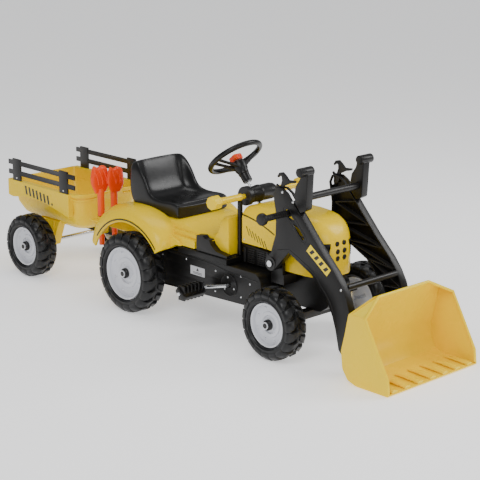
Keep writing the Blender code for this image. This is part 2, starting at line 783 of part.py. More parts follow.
def loader_arm(side_name):
    """A boxed arm, open on its inner side, with the latch and lever slots."""
    side = SIDES[side_name]
    outline = arm_outline()
    low, high = spread(side, ARM_INNER, ARM_OUTER)
    arm = prism(f"arm_{side_name}", outline, low, high)
    low, high = spread(side, ARM_INNER - 0.01, ARM_OUTER - WALL)
    pocket = prism("pocket", inset(outline, WALL), low, high)
    low, high = spread(side, LATCH_Y - 0.0055, LATCH_Y + 0.0055)
    latch_slot = box("latch_slot", (0.380, low, 0.452), (0.462, high, 0.52))
    cut(arm, pocket)
    bosses = []
    low, high = spread(side, ARM_INNER, ARM_OUTER - 0.001)
    bosses.append(across("boss", ARM_PIVOT, 0.0205, low, high, "black", 12))
    bosses.append(across("boss", BUCKET_PIVOT, 0.0155, low, high, "black", 12))
    fuse(arm, *bosses)
    tools = [lug_hole(ARM_PIVOT, BORE_R, side), lug_hole(BUCKET_PIVOT, 0.0088, side), latch_slot]
    if side_name == "right":
        line = (SLOT_FOOT - SLOT_TOP).normalized()
        half = Vector((-line.z, 0, line.x)) * 0.0062
        start = SLOT_TOP - line * 0.002
        end = SLOT_FOOT + line * 0.002
        corners = [start + half, start - half, end - half, end + half]
        tools.append(prism("lever_slot", [(c.x, c.z) for c in corners], -0.15, -0.09))
    cut(arm, *tools)
    move_origin(arm, (ARM_PIVOT.x, side * (ARM_INNER + ARM_OUTER) / 2, ARM_PIVOT.z))


def arm_head(side_name):
    """The upright plate on an arm's top end, with a short cross tube."""
    side = SIDES[side_name]
    low, high = spread(side, ARM_INNER, ARM_OUTER)
    outline = [(0.4955, 0.4260), (0.517, 0.437), (0.519, 0.452), (0.524, 0.540), (0.498, 0.546),
               (0.492, 0.522), (0.476, 0.500), (0.472, 0.478), (0.4765, 0.4475)]
    plate = prism(f"arm_head_{side_name}", rounded(outline, 0.003, 2), low, high)
    tube_low, tube_high = spread(side, 0.098, 0.148)
    tube = across("tube", HEAD_TUBE, 0.0135, tube_low, tube_high, "black", 18)
    fuse(plate, tube)


def crossbars():
    reach = ARM_INNER - GAP
    across("upper_crossbar", Vector((0.498, 0, 0.468)), 0.0105, -reach, reach, "black", 16)
    across("lower_crossbar", Vector((0.655, 0, 0.238)), 0.009, -reach, reach, "black", 16)


def pivot_bolt(side_name):
    side = SIDES[side_name]
    name = f"arm_pivot_bolt_{side_name}"
    bolt = rod(name, (ARM_PIVOT.x, side * 0.0875, ARM_PIVOT.z),
               (ARM_PIVOT.x, side * 0.1335, ARM_PIVOT.z), AXLE_R, "steel", 16)
    head = rod("head", (ARM_PIVOT.x, side * (ARM_OUTER + GAP), ARM_PIVOT.z),
               (ARM_PIVOT.x, side * 0.1335, ARM_PIVOT.z), 0.0095, "steel", 16)
    fuse(bolt, head)


def latch(side_name):
    """A spring hook on the arm's top that catches the dash bar when the loader is up."""
    side = SIDES[side_name]
    px, pz = LATCH_PIVOT.x, LATCH_PIVOT.z
    outline = [
        (px - 0.007, pz - 0.004), (px - 0.004, pz - 0.009), (px + 0.006, pz - 0.009),
        (px + 0.014, pz), (px + 0.018, pz + 0.022), (px + 0.040, pz + 0.033),
        (px + 0.062, pz + 0.038), (px + 0.062, pz + 0.044), (px + 0.036, pz + 0.042),
        (px + 0.024, pz + 0.053), (px + 0.012, pz + 0.061), (px - 0.001, pz + 0.058),
        (px - 0.009, pz + 0.047), (px - 0.006, pz + 0.043), (px + 0.003, pz + 0.050),
        (px + 0.009, pz + 0.048), (px + 0.010, pz + 0.036), (px + 0.004, pz + 0.020),
        (px - 0.005, pz + 0.019), (px - 0.012, pz + 0.024), (px - 0.014, pz + 0.020),
        (px - 0.007, pz + 0.011),
    ]
    low, high = spread(side, LATCH_Y - LATCH_THICK / 2, LATCH_Y + LATCH_THICK / 2)
    item = prism(f"latch_{side_name}", outline, low, high)
    move_origin(item, (px, side * LATCH_Y, pz))


def bucket_lever():
    """The lever in the right arm's slot: a slider, a pin with its grip, and an end knob."""
    x, z = LEVER_PIN.x, LEVER_PIN.z
    lever = rod("bucket_lever", (x, -0.112, z), (x, -0.234, z), 0.0055, "black", 14)
    slider = rod("slider", (x, -0.1115, z), (x, -0.1225, z), 0.0115, "black", 16)
    grip = rod("grip", (x, -0.1305, z), (x, -0.226, z), 0.0095, "black", 18)
    knob = rod("knob", (x, -0.222, z), (x, -0.238, z), 0.018, "black", 20)
    fuse(lever, slider, grip, knob)


def bucket():
    half = BUCKET_HALF
    outer = [
        (0.8897, 0.002), (0.883, 0.046), (0.774, 0.242), (0.764, 0.240), (0.741, 0.200),
        (0.728, 0.137), (0.716, 0.090), (0.722, 0.040), (0.742, 0.012), (0.773, 0.002),
    ]
    shell = prism("bucket", rounded(outer, 0.004, 2), -half, half, "yellow")
    inner = [
        (0.930, 0.007), (0.930, 0.300), (0.784, 0.300), (0.771, 0.242), (0.747, 0.199),
        (0.733, 0.136), (0.7215, 0.090), (0.727, 0.043), (0.745, 0.017), (0.775, 0.007),
    ]
    cavity = prism("cavity", inner, -half + WALL, half - WALL)
    chamfers = []
    for side in SIDES.values():
        corner = [(side * (half + 0.01), 0.196), (side * (half + 0.01), 0.27),
                  (side * 0.090, 0.27), (side * 0.108, 0.2425)]
        chamfers.append(prism("chamfer", corner, 0.70, 0.95, "yellow", "X"))
    cut(shell, cavity, *chamfers)
    lugs = []
    x, z = BUCKET_PIVOT.x, BUCKET_PIVOT.z
    for side in SIDES.values():
        low, high = spread(side, 0.086, ARM_INNER - 0.001)
        lug = circle((x, z), 0.013, 10, math.radians(90), math.radians(270))
        lugs.append(prism("lug", lug + [(0.7245, z - 0.013), (0.7245, z + 0.013)], low, high,
                          "yellow"))
        low, high = spread(side, 0.086, ARM_OUTER + 0.003)
        lugs.append(across("pin", BUCKET_PIVOT, 0.0085, low, high, "yellow", 16))
    fuse(shell, *lugs)
    move_origin(shell, BUCKET_PIVOT)


# ---------------------------------------------------------------- trailer
def plan_ring(rear, front, half, radius_rear, radius_front, z, steps=4):
    """A rounded rectangle seen from above, as points at one height."""
    corners = [(front, half, radius_front, 0), (rear, half, radius_rear, 90),
               (rear, -half, radius_rear, 180), (front, -half, radius_front, 270)]
    ring = []
    for x, y, radius, start in corners:
        centre_x = x - math.copysign(radius, x - rear - (front - rear) / 2)
        centre_y = y - math.copysign(radius, y)
        for i in range(steps + 1):
            angle = math.radians(start + 90 * i / steps)
            ring.append((centre_x + radius * math.cos(angle), centre_y + radius * math.sin(angle), z))
    return ring


def trailer_tub():
    outer = [
        plan_ring(TUB_REAR + 0.050, TUB_FRONT - 0.045, 0.096, 0.03, 0.045, TUB_BOTTOM),
        plan_ring(TUB_REAR + 0.018, TUB_FRONT - 0.016, 0.130, 0.02, 0.055, TUB_BOTTOM + 0.045),
        plan_ring(TUB_REAR + 0.004, TUB_FRONT - 0.006, 0.138, 0.014, 0.058, TUB_TOP - 0.012),
        plan_ring(TUB_REAR, TUB_FRONT, TUB_HALF, 0.014, 0.060, TUB_TOP - 0.010),
        plan_ring(TUB_REAR, TUB_FRONT, TUB_HALF, 0.014, 0.060, TUB_TOP),
    ]
    inner = [
        plan_ring(TUB_REAR + 0.055, TUB_FRONT - 0.050, 0.092, 0.028, 0.043, TUB_BOTTOM + WALL),
        plan_ring(TUB_REAR + 0.023, TUB_FRONT - 0.021, 0.126, 0.018, 0.052, TUB_BOTTOM + 0.048),
        plan_ring(TUB_REAR + 0.008, TUB_FRONT - 0.010, 0.134, 0.012, 0.055, TUB_TOP + 0.01),
    ]
    tub = loft("trailer_tub", outer, "yellow")
    cut(tub, loft("hollow", inner, "yellow"))
    legs = []
    for side_name, side in SIDES.items():
        low, high = spread(side, LEG_Y - 0.030, LEG_Y)
        leg = [(TRAILER_X - 0.016, 0.093), (TRAILER_X + 0.016, 0.093), (TRAILER_X + 0.045, 0.1735),
               (TRAILER_X + 0.060, 0.188), (TRAILER_X - 0.060, 0.188), (TRAILER_X - 0.045, 0.1735)]
        legs.append(prism(f"leg_{side_name}", leg, low, high, "yellow"))
    lifted = loft("lifted", inner, "yellow")
    fuse(tub, *legs)
    bore = across("bore", Vector((TRAILER_X, 0, SMALL_R)), BORE_R, -0.2, 0.2)
    cut(tub, lifted, bore)


def rail(side_name):
    """One side rail: two posts and two boards in one moulding."""
    side = SIDES[side_name]
    near = TUB_HALF + GAP
    low, high = spread(side, near, near + 0.006)
    parts = []
    for x in (-0.860, -0.598):
        parts.append(box("post", (x, low, 0.262), (x + 0.044, high, 0.374)))
    low, high = spread(side, near + 0.001, near + 0.0055)
    board = box(f"rail_{side_name}", (-0.884, low, 0.352), (-0.516, high, 0.368))
    lower = box("lower", (-0.884, low, 0.318), (-0.516, high, 0.334))
    fuse(board, parts[0], parts[1], lower)


def hitch():
    bracket = prism("hitch_bracket", [(-0.3055, -0.022), (-0.3055, 0.022), (-0.425, 0.016),
                                      (-0.446, 0.008), (-0.446, -0.008), (-0.425, -0.016)],
                    HITCH_Z, HITCH_Z + 0.008, "steel", "Z")
    heel = box("heel", (-0.3130, -0.022, HITCH_Z), (-0.3055, 0.022, 0.186), "steel")
    cut(fuse(bracket, heel), rod("hole", (HITCH_X, 0, 0.1), (HITCH_X, 0, 0.2), BORE_R + 0.0004))
    tongue = prism("trailer_tongue", [(-0.412, -0.012), (-0.412, 0.012), (-0.430, 0.020),
                                      (-0.560, 0.024), (-0.700, 0.024), (-0.700, -0.024),
                                      (-0.560, -0.024), (-0.430, -0.020)],
                   HITCH_Z + 0.0095, HITCH_Z + 0.0195, "black", "Z")
    neck = prism("neck", [(-0.700, HITCH_Z + 0.0100), (-0.560, HITCH_Z + 0.0100),
                          (-0.600, TUB_BOTTOM - GAP), (-0.700, TUB_BOTTOM - GAP)], -0.022, 0.022)
    cut(fuse(tongue, neck), rod("hole", (HITCH_X, 0, 0.1), (HITCH_X, 0, 0.2), BORE_R))
    pin = rod("hitch_pin", (HITCH_X, 0, HITCH_Z - 0.014), (HITCH_X, 0, HITCH_Z + 0.024), AXLE_R)
    head = rod("head", (HITCH_X, 0, HITCH_Z + 0.0200), (HITCH_X, 0, HITCH_Z + 0.026), 0.011)
    fuse(pin, head)


# ---------------------------------------------------------------- assembly
def build():
    clear_scene()
    all_wheels()
    main_frame()
    engine_block()
    front_axle_beam()
    tie_rod()
    crank()
    toothed("chainring", CRANK_X, CRANK_Z, CHAINRING_R, 0.004, 24)
    toothed("axle_sprocket", REAR_X, REAR_R, SPROCKET_R, 0.004, 14)
    chain_loop()
    body_shell()
    seat()
    hood()
    dash_drum()
    dash_bar()
    steering_wheel()
    steering_shaft()
    horn_button()
    for side_name in SIDES:
        side_case(side_name)
        foot_board(side_name)
        knuckle(side_name)
        pedal(side_name)
        dash_post(side_name)
        loader_arm(side_name)
        arm_head(side_name)
        pivot_bolt(side_name)
        latch(side_name)
        rail(side_name)
    crossbars()
    bucket_lever()
    bucket()
    tool("rake", 0.036, 0.322, 0.415, 0.010, -0.004)
    tool("shovel", 0.034, 0.326, 0.408, 0.008, 0.009)
    trailer_tub()
    hitch()


build()
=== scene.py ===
"""Looks of the ride-on pedal loader tractor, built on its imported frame.

Metres, +X towards the bucket, +Y the rider's left, +Z up.
"""
import json
from math import copysign, cos, pi, radians, sin

import bmesh
import bpy
from mathutils import Matrix, Vector


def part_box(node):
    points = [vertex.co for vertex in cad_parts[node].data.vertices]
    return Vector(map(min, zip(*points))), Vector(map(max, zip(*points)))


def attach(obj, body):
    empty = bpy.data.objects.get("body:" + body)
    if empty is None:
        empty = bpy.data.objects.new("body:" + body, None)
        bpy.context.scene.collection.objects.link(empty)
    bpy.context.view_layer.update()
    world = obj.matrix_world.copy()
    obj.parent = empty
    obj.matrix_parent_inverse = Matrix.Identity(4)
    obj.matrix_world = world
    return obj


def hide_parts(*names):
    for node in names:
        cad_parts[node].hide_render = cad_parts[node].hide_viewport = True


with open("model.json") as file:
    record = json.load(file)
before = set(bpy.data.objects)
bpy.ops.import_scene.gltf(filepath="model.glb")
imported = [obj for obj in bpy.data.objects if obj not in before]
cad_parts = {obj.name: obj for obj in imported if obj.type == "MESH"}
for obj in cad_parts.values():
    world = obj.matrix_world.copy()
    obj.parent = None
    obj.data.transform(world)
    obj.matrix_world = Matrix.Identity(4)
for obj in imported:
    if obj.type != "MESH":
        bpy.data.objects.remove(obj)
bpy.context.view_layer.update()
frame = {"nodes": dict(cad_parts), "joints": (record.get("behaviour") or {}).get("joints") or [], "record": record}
NODES = frame["nodes"]
SIDES = {"left": 1, "right": -1}
PROUD = 0.0004                    # how far a thin trim stands off its face
DECK_HALF = 0.112                 # half the width of the deck
DECK_UNDER = 0.234                # underside of the deck over the foot boards
TOOL_HEAD_FOOT = 0.322            # height at which both toy tools' heads begin
TOOL_COLLAR = 0.0118              # radius of a toy tool's collar in the CAD
SKIRT_OUT = 0.1500                # outer face of the trailer's side skirt
CAP_INSET = 0.0100                # how far inside the rim's face a hub cap starts
BUCKET_RIM = 0.0044               # radius of the bucket's rolled rim
TURN = 2 * pi
QUARTER = pi / 2

JOINTS = {joint["name"]: joint for joint in frame["joints"]}


# ------ materials
class Surface:
    """A procedural material, built up node by node."""

    def __init__(self, name):
        self.material = bpy.data.materials.new(name)
        self.material.use_nodes = True
        self.nodes = self.material.node_tree.nodes
        self.links = self.material.node_tree.links
        self.shader = self.nodes["Principled BSDF"]
        self.place = self.nodes.new("ShaderNodeTexCoord").outputs["Object"]

    def noise(self, place, scale, detail=2.0):
        texture = self.nodes.new("ShaderNodeTexNoise")
        texture.inputs["Scale"].default_value = scale
        texture.inputs["Detail"].default_value = detail
        self.links.new(place, texture.inputs["Vector"])
        return texture.outputs["Fac"]

    def ramp(self, source, start=0.0, end=1.0, low=(0, 0, 0), high=(1, 1, 1)):
        band = self.nodes.new("ShaderNodeValToRGB")
        self.links.new(source, band.inputs["Fac"])
        ends = zip(band.color_ramp.elements, (start, end), (low, high))
        for element, position, colour in ends:
            element.position = position
            element.color = list(colour) + [1]
        return band.outputs["Color"]

    def roughen(self, source, low, high):
        """Lets a texture move the roughness between two values."""
        span = self.nodes.new("ShaderNodeMapRange")
        span.inputs["To Min"].default_value = low
        span.inputs["To Max"].default_value = high
        self.links.new(source, span.inputs["Value"])
        self.links.new(span.outputs["Result"], self.shader.inputs["Roughness"])


def moulded(name, colour, roughness, grain, bump, worn, coat=0.0, spread=0.05, specular=0.3):
    """Moulded plastic: a fine skin grain, faint colour flow, and paler worn edges."""
    surface = Surface(name)
    nodes, links, shader, place = surface.nodes, surface.links, surface.shader, surface.place
    shader.inputs["Coat Weight"].default_value = coat
    shader.inputs["Specular IOR Level"].default_value = specular
    shader.inputs["Coat Roughness"].default_value = 0.12

    flow = surface.ramp(surface.noise(place, 7.0, 4.0), 0.30, 0.72,
                        [c * (1 - spread) for c in colour],
                        [min(1.0, c * (1 + spread)) for c in colour])
    edges = surface.ramp(nodes.new("ShaderNodeNewGeometry").outputs["Pointiness"], 0.54, 0.64)
    wear = nodes.new("ShaderNodeMix")
    wear.data_type = "RGBA"
    wear.inputs["B"].default_value = list(worn) + [1]
    links.new(edges, wear.inputs["Factor"])
    links.new(flow, wear.inputs["A"])
    links.new(wear.outputs["Result"], shader.inputs["Base Color"])

    surface.roughen(surface.noise(place, 23.0, 6.0), roughness * 0.82, min(1.0, roughness * 1.22))

    relief = nodes.new("ShaderNodeBump")
    relief.inputs["Strength"].default_value = bump
    relief.inputs["Distance"].default_value = 0.0006
    links.new(surface.noise(place, grain, 3.0), relief.inputs["Height"])
    links.new(relief.outputs["Normal"], shader.inputs["Normal"])
    return surface.material


def plated(name, colour, roughness):
    """Plated steel with fine drawn lines and small dull patches."""
    surface = Surface(name)
    surface.shader.inputs["Metallic"].default_value = 1.0
    drawn = surface.nodes.new("ShaderNodeMapping")
    drawn.inputs["Scale"].default_value = (260, 14, 260)
    surface.links.new(surface.place, drawn.inputs["Vector"])
    surface.roughen(surface.noise(drawn.outputs["Vector"], 3.0), roughness * 0.7, roughness * 1.5)
    patches = surface.ramp(surface.noise(surface.place, 60.0), 0.0, 1.0,
                           [c * 0.86 for c in colour], colour)
    surface.links.new(patches, surface.shader.inputs["Base Color"])
    return surface.material


YELLOW = moulded("yellow_moulded", (0.97, 0.66, 0.0), 0.27, 420, 0.05,
                 (0.98, 0.72, 0.01), coat=0.10, spread=0.025, specular=0.22)
BLACK = moulded("black_moulded", (0.0055, 0.0050, 0.0048), 0.34, 900, 0.16,
                (0.024, 0.023, 0.023), spread=0.15, specular=0.34)
SEAT = moulded("seat_moulded", (0.0050, 0.0050, 0.0052), 0.28, 1100, 0.12,
               (0.020, 0.020, 0.021), coat=0.10, spread=0.12, specular=0.34)
TYRE = moulded("tyre_moulded", (0.0060, 0.0060, 0.0064), 0.34, 700, 0.14,
               (0.022, 0.022, 0.023), spread=0.15, specular=0.34)
WHITE = moulded("rim_moulded", (0.66, 0.67, 0.71), 0.36, 500, 0.06,
                (0.80, 0.80, 0.82), coat=0.10, spread=0.03)
ORANGE = moulded("orange_moulded", (0.95, 0.055, 0.0), 0.32, 460, 0.06,
                 (0.98, 0.13, 0.01), coat=0.12, spread=0.04)
STEEL = plated("plated_steel", (0.72, 0.73, 0.75), 0.24)
LABEL = moulded("label_film", (0.50, 0.51, 0.52), 0.34, 300, 0.03, (0.60, 0.60, 0.62))
FINISH = {
    "yellow_plastic": YELLOW, "black_plastic": BLACK, "seat_plastic": SEAT,
    "tyre_plastic": TYRE, "rim_plastic": WHITE, "orange_plastic": ORANGE, "zinc_steel": STEEL,
}


# ------ shapes
def circle(centre, radius, sides):
    """Points of a full circle in a plane."""
    return [(centre[0] + radius * cos(TURN * i / sides),
             centre[1] + radius * sin(TURN * i / sides)) for i in range(sides)]


def smooth_line(points, steps=6):
    """A Catmull-Rom curve through the points."""
    padded = [points[0]] + list(points) + [points[-1]]
    line = []
    for i in range(1, len(padded) - 2):
        a, b, c, d = (Vector(p) for p in padded[i - 1:i + 3])
        for k in range(steps):
            t = k / steps
            line.append(0.5 * (2 * b + (c - a) * t + (2 * a - 5 * b + 4 * c - d) * t ** 2
                               + (3 * b - a - 3 * c + d) * t ** 3))
    return line + [Vector(points[-1])]


def placed(name, data):
    """A new object in the scene."""
    item = bpy.data.objects.new(name, data)
    bpy.context.scene.collection.objects.link(item)
    return item


class Shape:
    """Closed mesh parts gathered into one piece."""

    def __init__(self):
        self.bm = bmesh.new()

    def add(self, verts, faces, place=None):
        made = [self.bm.verts.new(place @ Vector(v) if place else v) for v in verts]
        for face in faces:
            self.bm.faces.new([made[i] for i in face])
        return self

    def loft(self, rings, place=None, closed=False):
        """Skins rings of equal length; the two ends are capped unless the rings close up."""
        count, size = len(rings), len(rings[0])
        verts = [v for ring in rings for v in ring]
        faces = []
        for i in range(count if closed else count - 1):
            j = (i + 1) % count
            for k in range(size):
                n = (k + 1) % size
                faces.append((i * size + k, i * size + n, j * size + n, j * size + k))
        if not closed:
            faces.append(tuple(reversed(range(size))))
            faces.append(tuple((count - 1) * size + k for k in range(size)))
        return self.add(verts, faces, place)

    def prism(self, outline, start, end, along="Y", place=None):
        """An outline drawn out along Y or Z between two values, given in either order."""
        rings = [[(a, s, b) if along == "Y" else (a, b, s) for a, b in outline]
                 for s in sorted((start, end))]
        return self.loft(rings, place)

    def box(self, low, high):
        (x0, y0, z0), (x1, y1, z1) = low, high
        return self.prism([(x0, z0), (x1, z0), (x1, z1), (x0, z1)], y0, y1)

    def lathe(self, profile, centre=(0, 0, 0), sides=64, place=None):
        """A closed profile of (radius, y) turned about a line along Y."""
        rings = []
        for k in range(sides):
            a = TURN * k / sides
            rings.append([(centre[0] + r * cos(a), centre[1] + y, centre[2] + r * sin(a))
                          for r, y in profile])
        return self.loft(rings, place, closed=True)

    def sweep(self, points, radius, sides=10, flat=1.0, side_axis=(0, 1, 0)):
        """A bar along points; flat scales its radius in the direction of side_axis."""
        points = [Vector(p) for p in points]
        radii = radius if isinstance(radius, (list, tuple)) else [radius] * len(points)
        rings = []
        for i, p in enumerate(points):
            ahead = points[min(i + 1, len(points) - 1)] - points[max(i - 1, 0)]
            u = Vector(side_axis).cross(ahead)
            u = u.normalized() if u.length > 1e-9 else Vector((0, 0, 1))
            w = ahead.cross(u).normalized()
            rings.append([p + u * radii[i] * cos(TURN * k / sides)
                          + w * radii[i] * flat * sin(TURN * k / sides)
                          for k in range(sides)])
        return self.loft(rings)

    def rod(self, start, end, radius, sides=24):
        start, end = Vector(start), Vector(end)
        axis = (0, 1, 0) if abs((end - start).normalized().y) < 0.9 else (0, 0, 1)
        return self.sweep([start, end], radius, sides, 1.0, axis)

    def dome(self, centre, radius, height, facing, sides=14, rings=4):
        """A low rounded head, such as a rivet's, on a face that faces that way."""
        facing = Vector(facing).normalized()
        turn = Vector((0, 0, 1)).rotation_difference(facing).to_matrix().to_4x4()
        place = Matrix.Translation(centre) @ turn
        levels = []
        for i in range(rings + 1):
            a = QUARTER * i / rings * 0.94
            r = radius * cos(a)
            levels.append([(r * cos(TURN * k / sides), r * sin(TURN * k / sides),
                            height * sin(a)) for k in range(sides)])
        return self.loft(levels, place)

    def bosses(self, centre, reach, face, side, count, radius, height, offset=0, sides=14, rings=4):
        """A ring of low domes round an axle, on a face at one y."""
        for k in range(count):
            a = TURN * (k + offset) / count
            self.dome((centre.x + reach * cos(a), face, centre.z + reach * sin(a)),
                      radius, height, (0, side, 0), sides, rings)

    def node(self, name):
        """The CAD node's own shape, with its split corners joined and its flats whole."""
        source = bmesh.new()
        source.from_mesh(NODES[name].data)
        bmesh.ops.remove_doubles(source, verts=source.verts, dist=0.00002)
        bmesh.ops.dissolve_limit(source, angle_limit=0.02, verts=source.verts, edges=source.edges)
        copy = bpy.data.meshes.new("copy")
        source.to_mesh(copy)
        source.free()
        self.bm.from_mesh(copy)
        bpy.data.meshes.remove(copy)
        return self

    def piece(self, name, body, material, bevel=0.0, subdivide=0, stands_for=(), crease=35):
        """Finishes the parts as one object that rides on a body."""
        bmesh.ops.recalc_face_normals(self.bm, faces=self.bm.faces)
        mesh = bpy.data.meshes.new(name)
        self.bm.to_mesh(mesh)
        self.bm.free()
        for polygon in mesh.polygons:
            polygon.use_smooth = True
        item = placed(name, mesh)
        mesh.materials.append(material)
        if bevel:
            modifier = item.modifiers.new("edges", "BEVEL")
            modifier.width = bevel
            modifier.segments = 3
            modifier.limit_method = "ANGLE"
            modifier.angle_limit = radians(32)
            modifier.harden_normals = True
        elif subdivide:
            modifier = item.modifiers.new("skin", "SUBSURF")
            modifier.levels = subdivide
            modifier.render_levels = subdivide
        else:
            mesh.set_sharp_from_angle(angle=radians(crease))
        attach(item, body)
        if stands_for:
            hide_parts(*stands_for)


def softened(node, name, body_name, material, bevel):
    """A CAD node's own shape again, with its edges rounded off."""
    Shape().node(node).piece(name, body_name, material, bevel=bevel, stands_for=[node])


def box_of(node):
    low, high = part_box(node)
    return low, high, (low + high) / 2


def wheel_size(node):
    """Centre, radius and half width."""
    low, high, centre = box_of(node)
    return centre, (high.z - low.z) / 2, (high.y - low.y) / 2


def face_y(node, side):
    """Where a node's face is on the left (1) or on the right (-1)."""
    low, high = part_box(node)
    return high.y if side > 0 else low.y


# ------ wheels
LUGS = {"rear": 20, "front": 18, "trailer": 18}


def tyre(prefix, side_name, body):
    node = f"{prefix}_tyre_{side_name}"
    centre, radius, half = wheel_size(node)
    rim_radius = wheel_size(f"{prefix}_rim_{side_name}")[1]
    groove = radius - 0.0085
    profile = [
        (rim_radius + 0.001, half - 0.009), (rim_radius + 0.003, half - 0.003),
        (rim_radius + 0.007, half - 0.0005), (rim_radius + 0.011, half - 0.002),
        (radius * 0.80, half - 0.0015), (radius * 0.83, half - 0.003),
        (radius * 0.885, half - 0.005), (groove - 0.001, half * 0.74), (groove, half * 0.16),
        (radius - 0.004, half * 0.11), (radius - 0.003, 0),
    ]
    profile += [(r, -y) for r, y in reversed(profile[:-1])]
    shape = Shape().lathe(profile, centre, 96)
    count = LUGS[prefix]
    pitch = TURN / count
    # along a lug from the middle of the tread: y share, top radius, width share of the pitch, lead
    stations = [(0.10, radius - 0.0006, 0.46, 0.42), (0.40, radius - 0.0002, 0.56, 0.26),
                (0.66, radius - 0.0012, 0.76, 0.12), (0.86, radius - 0.0075, 0.92, 0.03),
                (0.965, radius * 0.885, 0.94, 0.0), (0.992, radius * 0.845, 0.80, 0.0)]
    for hand in (1, -1):
        for k in range(count):
            start = pitch * (k + (0.5 if hand < 0 else 0.0))
            rings = []
            for share, top, width, lead in stations:
                y = centre.y + hand * half * share
                middle = start + pitch * lead
                base = min(top - 0.007, groove - 0.002)
                ring = []
                for r, w in ((base, width * 0.52), (top - 0.0018, width * 0.48),
                             (top, width * 0.40), (top, -width * 0.40),
                             (top - 0.0018, -width * 0.48), (base, -width * 0.52)):
                    a = middle + pitch * w
                    ring.append((centre.x + r * cos(a), y, centre.z + r * sin(a)))
                rings.append(ring)
            shape.loft(rings)
    shape.piece(f"tyre_{prefix}_{side_name}", body, TYRE, stands_for=[node], crease=42)


def rim(prefix, side_name, body):
    node = f"{prefix}_rim_{side_name}"
    centre, radius, half = wheel_size(node)
    side = SIDES[side_name]
    bore = 0.0062
    outer = [
        (radius, half - 0.002), (radius - 0.0015, half), (radius - 0.0050, half),
        (radius - 0.0075, half - 0.004), (radius - 0.0085, half - 0.0125),
        (radius - 0.0130, half - 0.0160), (radius * 0.58, half - 0.0165),
        (radius * 0.555, half - 0.0130), (radius * 0.42, half - 0.0125),
        (radius * 0.385, half - 0.0165), (0.0215, half - 0.0165), (0.0195, half - 0.0110),
        (bore, half - 0.0110),
    ]
    inner = [(bore, half * 0.25), (radius * 0.40, half * 0.36), (radius - 0.011, half * 0.36),
             (radius - 0.007, -half + 0.002), (radius - 0.002, -half), (radius, -half + 0.002)]
    profile = [(r, side * y) for r, y in outer + inner]
    shape = Shape().lathe(profile, centre, 80)
    face = centre.y + side * (half - 0.0166)
    shape.bosses(centre, radius * 0.76, face, side, 8, radius * 0.056, 0.0048, 0.5)
    shape.bosses(centre, radius * 0.30, face, side, 6, radius * 0.030, 0.0030, 0, 10, 3)
    shape.piece(f"rim_{prefix}_{side_name}", body, WHITE, stands_for=[node], crease=38)


def hub_cap(prefix, side_name, body, end):
    """A dark push nut with a crown of bumps over the end of the axle."""
    side = SIDES[side_name]
    node = f"{prefix}_rim_{side_name}"
    centre = box_of(node)[2]
    foot = face_y(node, side) - side * CAP_INSET
    depth = max(0.006, abs(end - foot))
    shape = Shape()
    shape.lathe([(0.0005, foot), (0.0160, foot), (0.0160, foot + side * depth * 0.45),
                 (0.0140, foot + side * depth * 0.62), (0.0086, foot + side * depth * 0.70),
                 (0.0080, foot + side * depth), (0.0001, foot + side * depth)],
                (centre.x, 0, centre.z), 32)
    shape.bosses(centre, 0.0118, foot + side * depth * 0.62, side, 6, 0.0026, 0.0026, 0, 8, 3)
    shape.piece(f"hub_cap_{prefix}_{side_name}", body, BLACK)


def wheels():
    riders = {"rear": ("rear_wheels", "rear_wheels"), "front": ("front_wheel_{}", "knuckle_{}"),
              "trailer": ("trailer_wheel_{}", "trailer")}
    ends = {"rear": "rear_axle", "trailer": "trailer_axle"}
    for prefix, (wheel_body, cap_body) in riders.items():
        for side_name, side in SIDES.items():
            body = wheel_body.format(side_name)
            tyre(prefix, side_name, body)
            rim(prefix, side_name, body)
            end = face_y(ends.get(prefix, f"knuckle_{side_name}"), side) + side * PROUD
            hub_cap(prefix, side_name, cap_body.format(side_name), end)


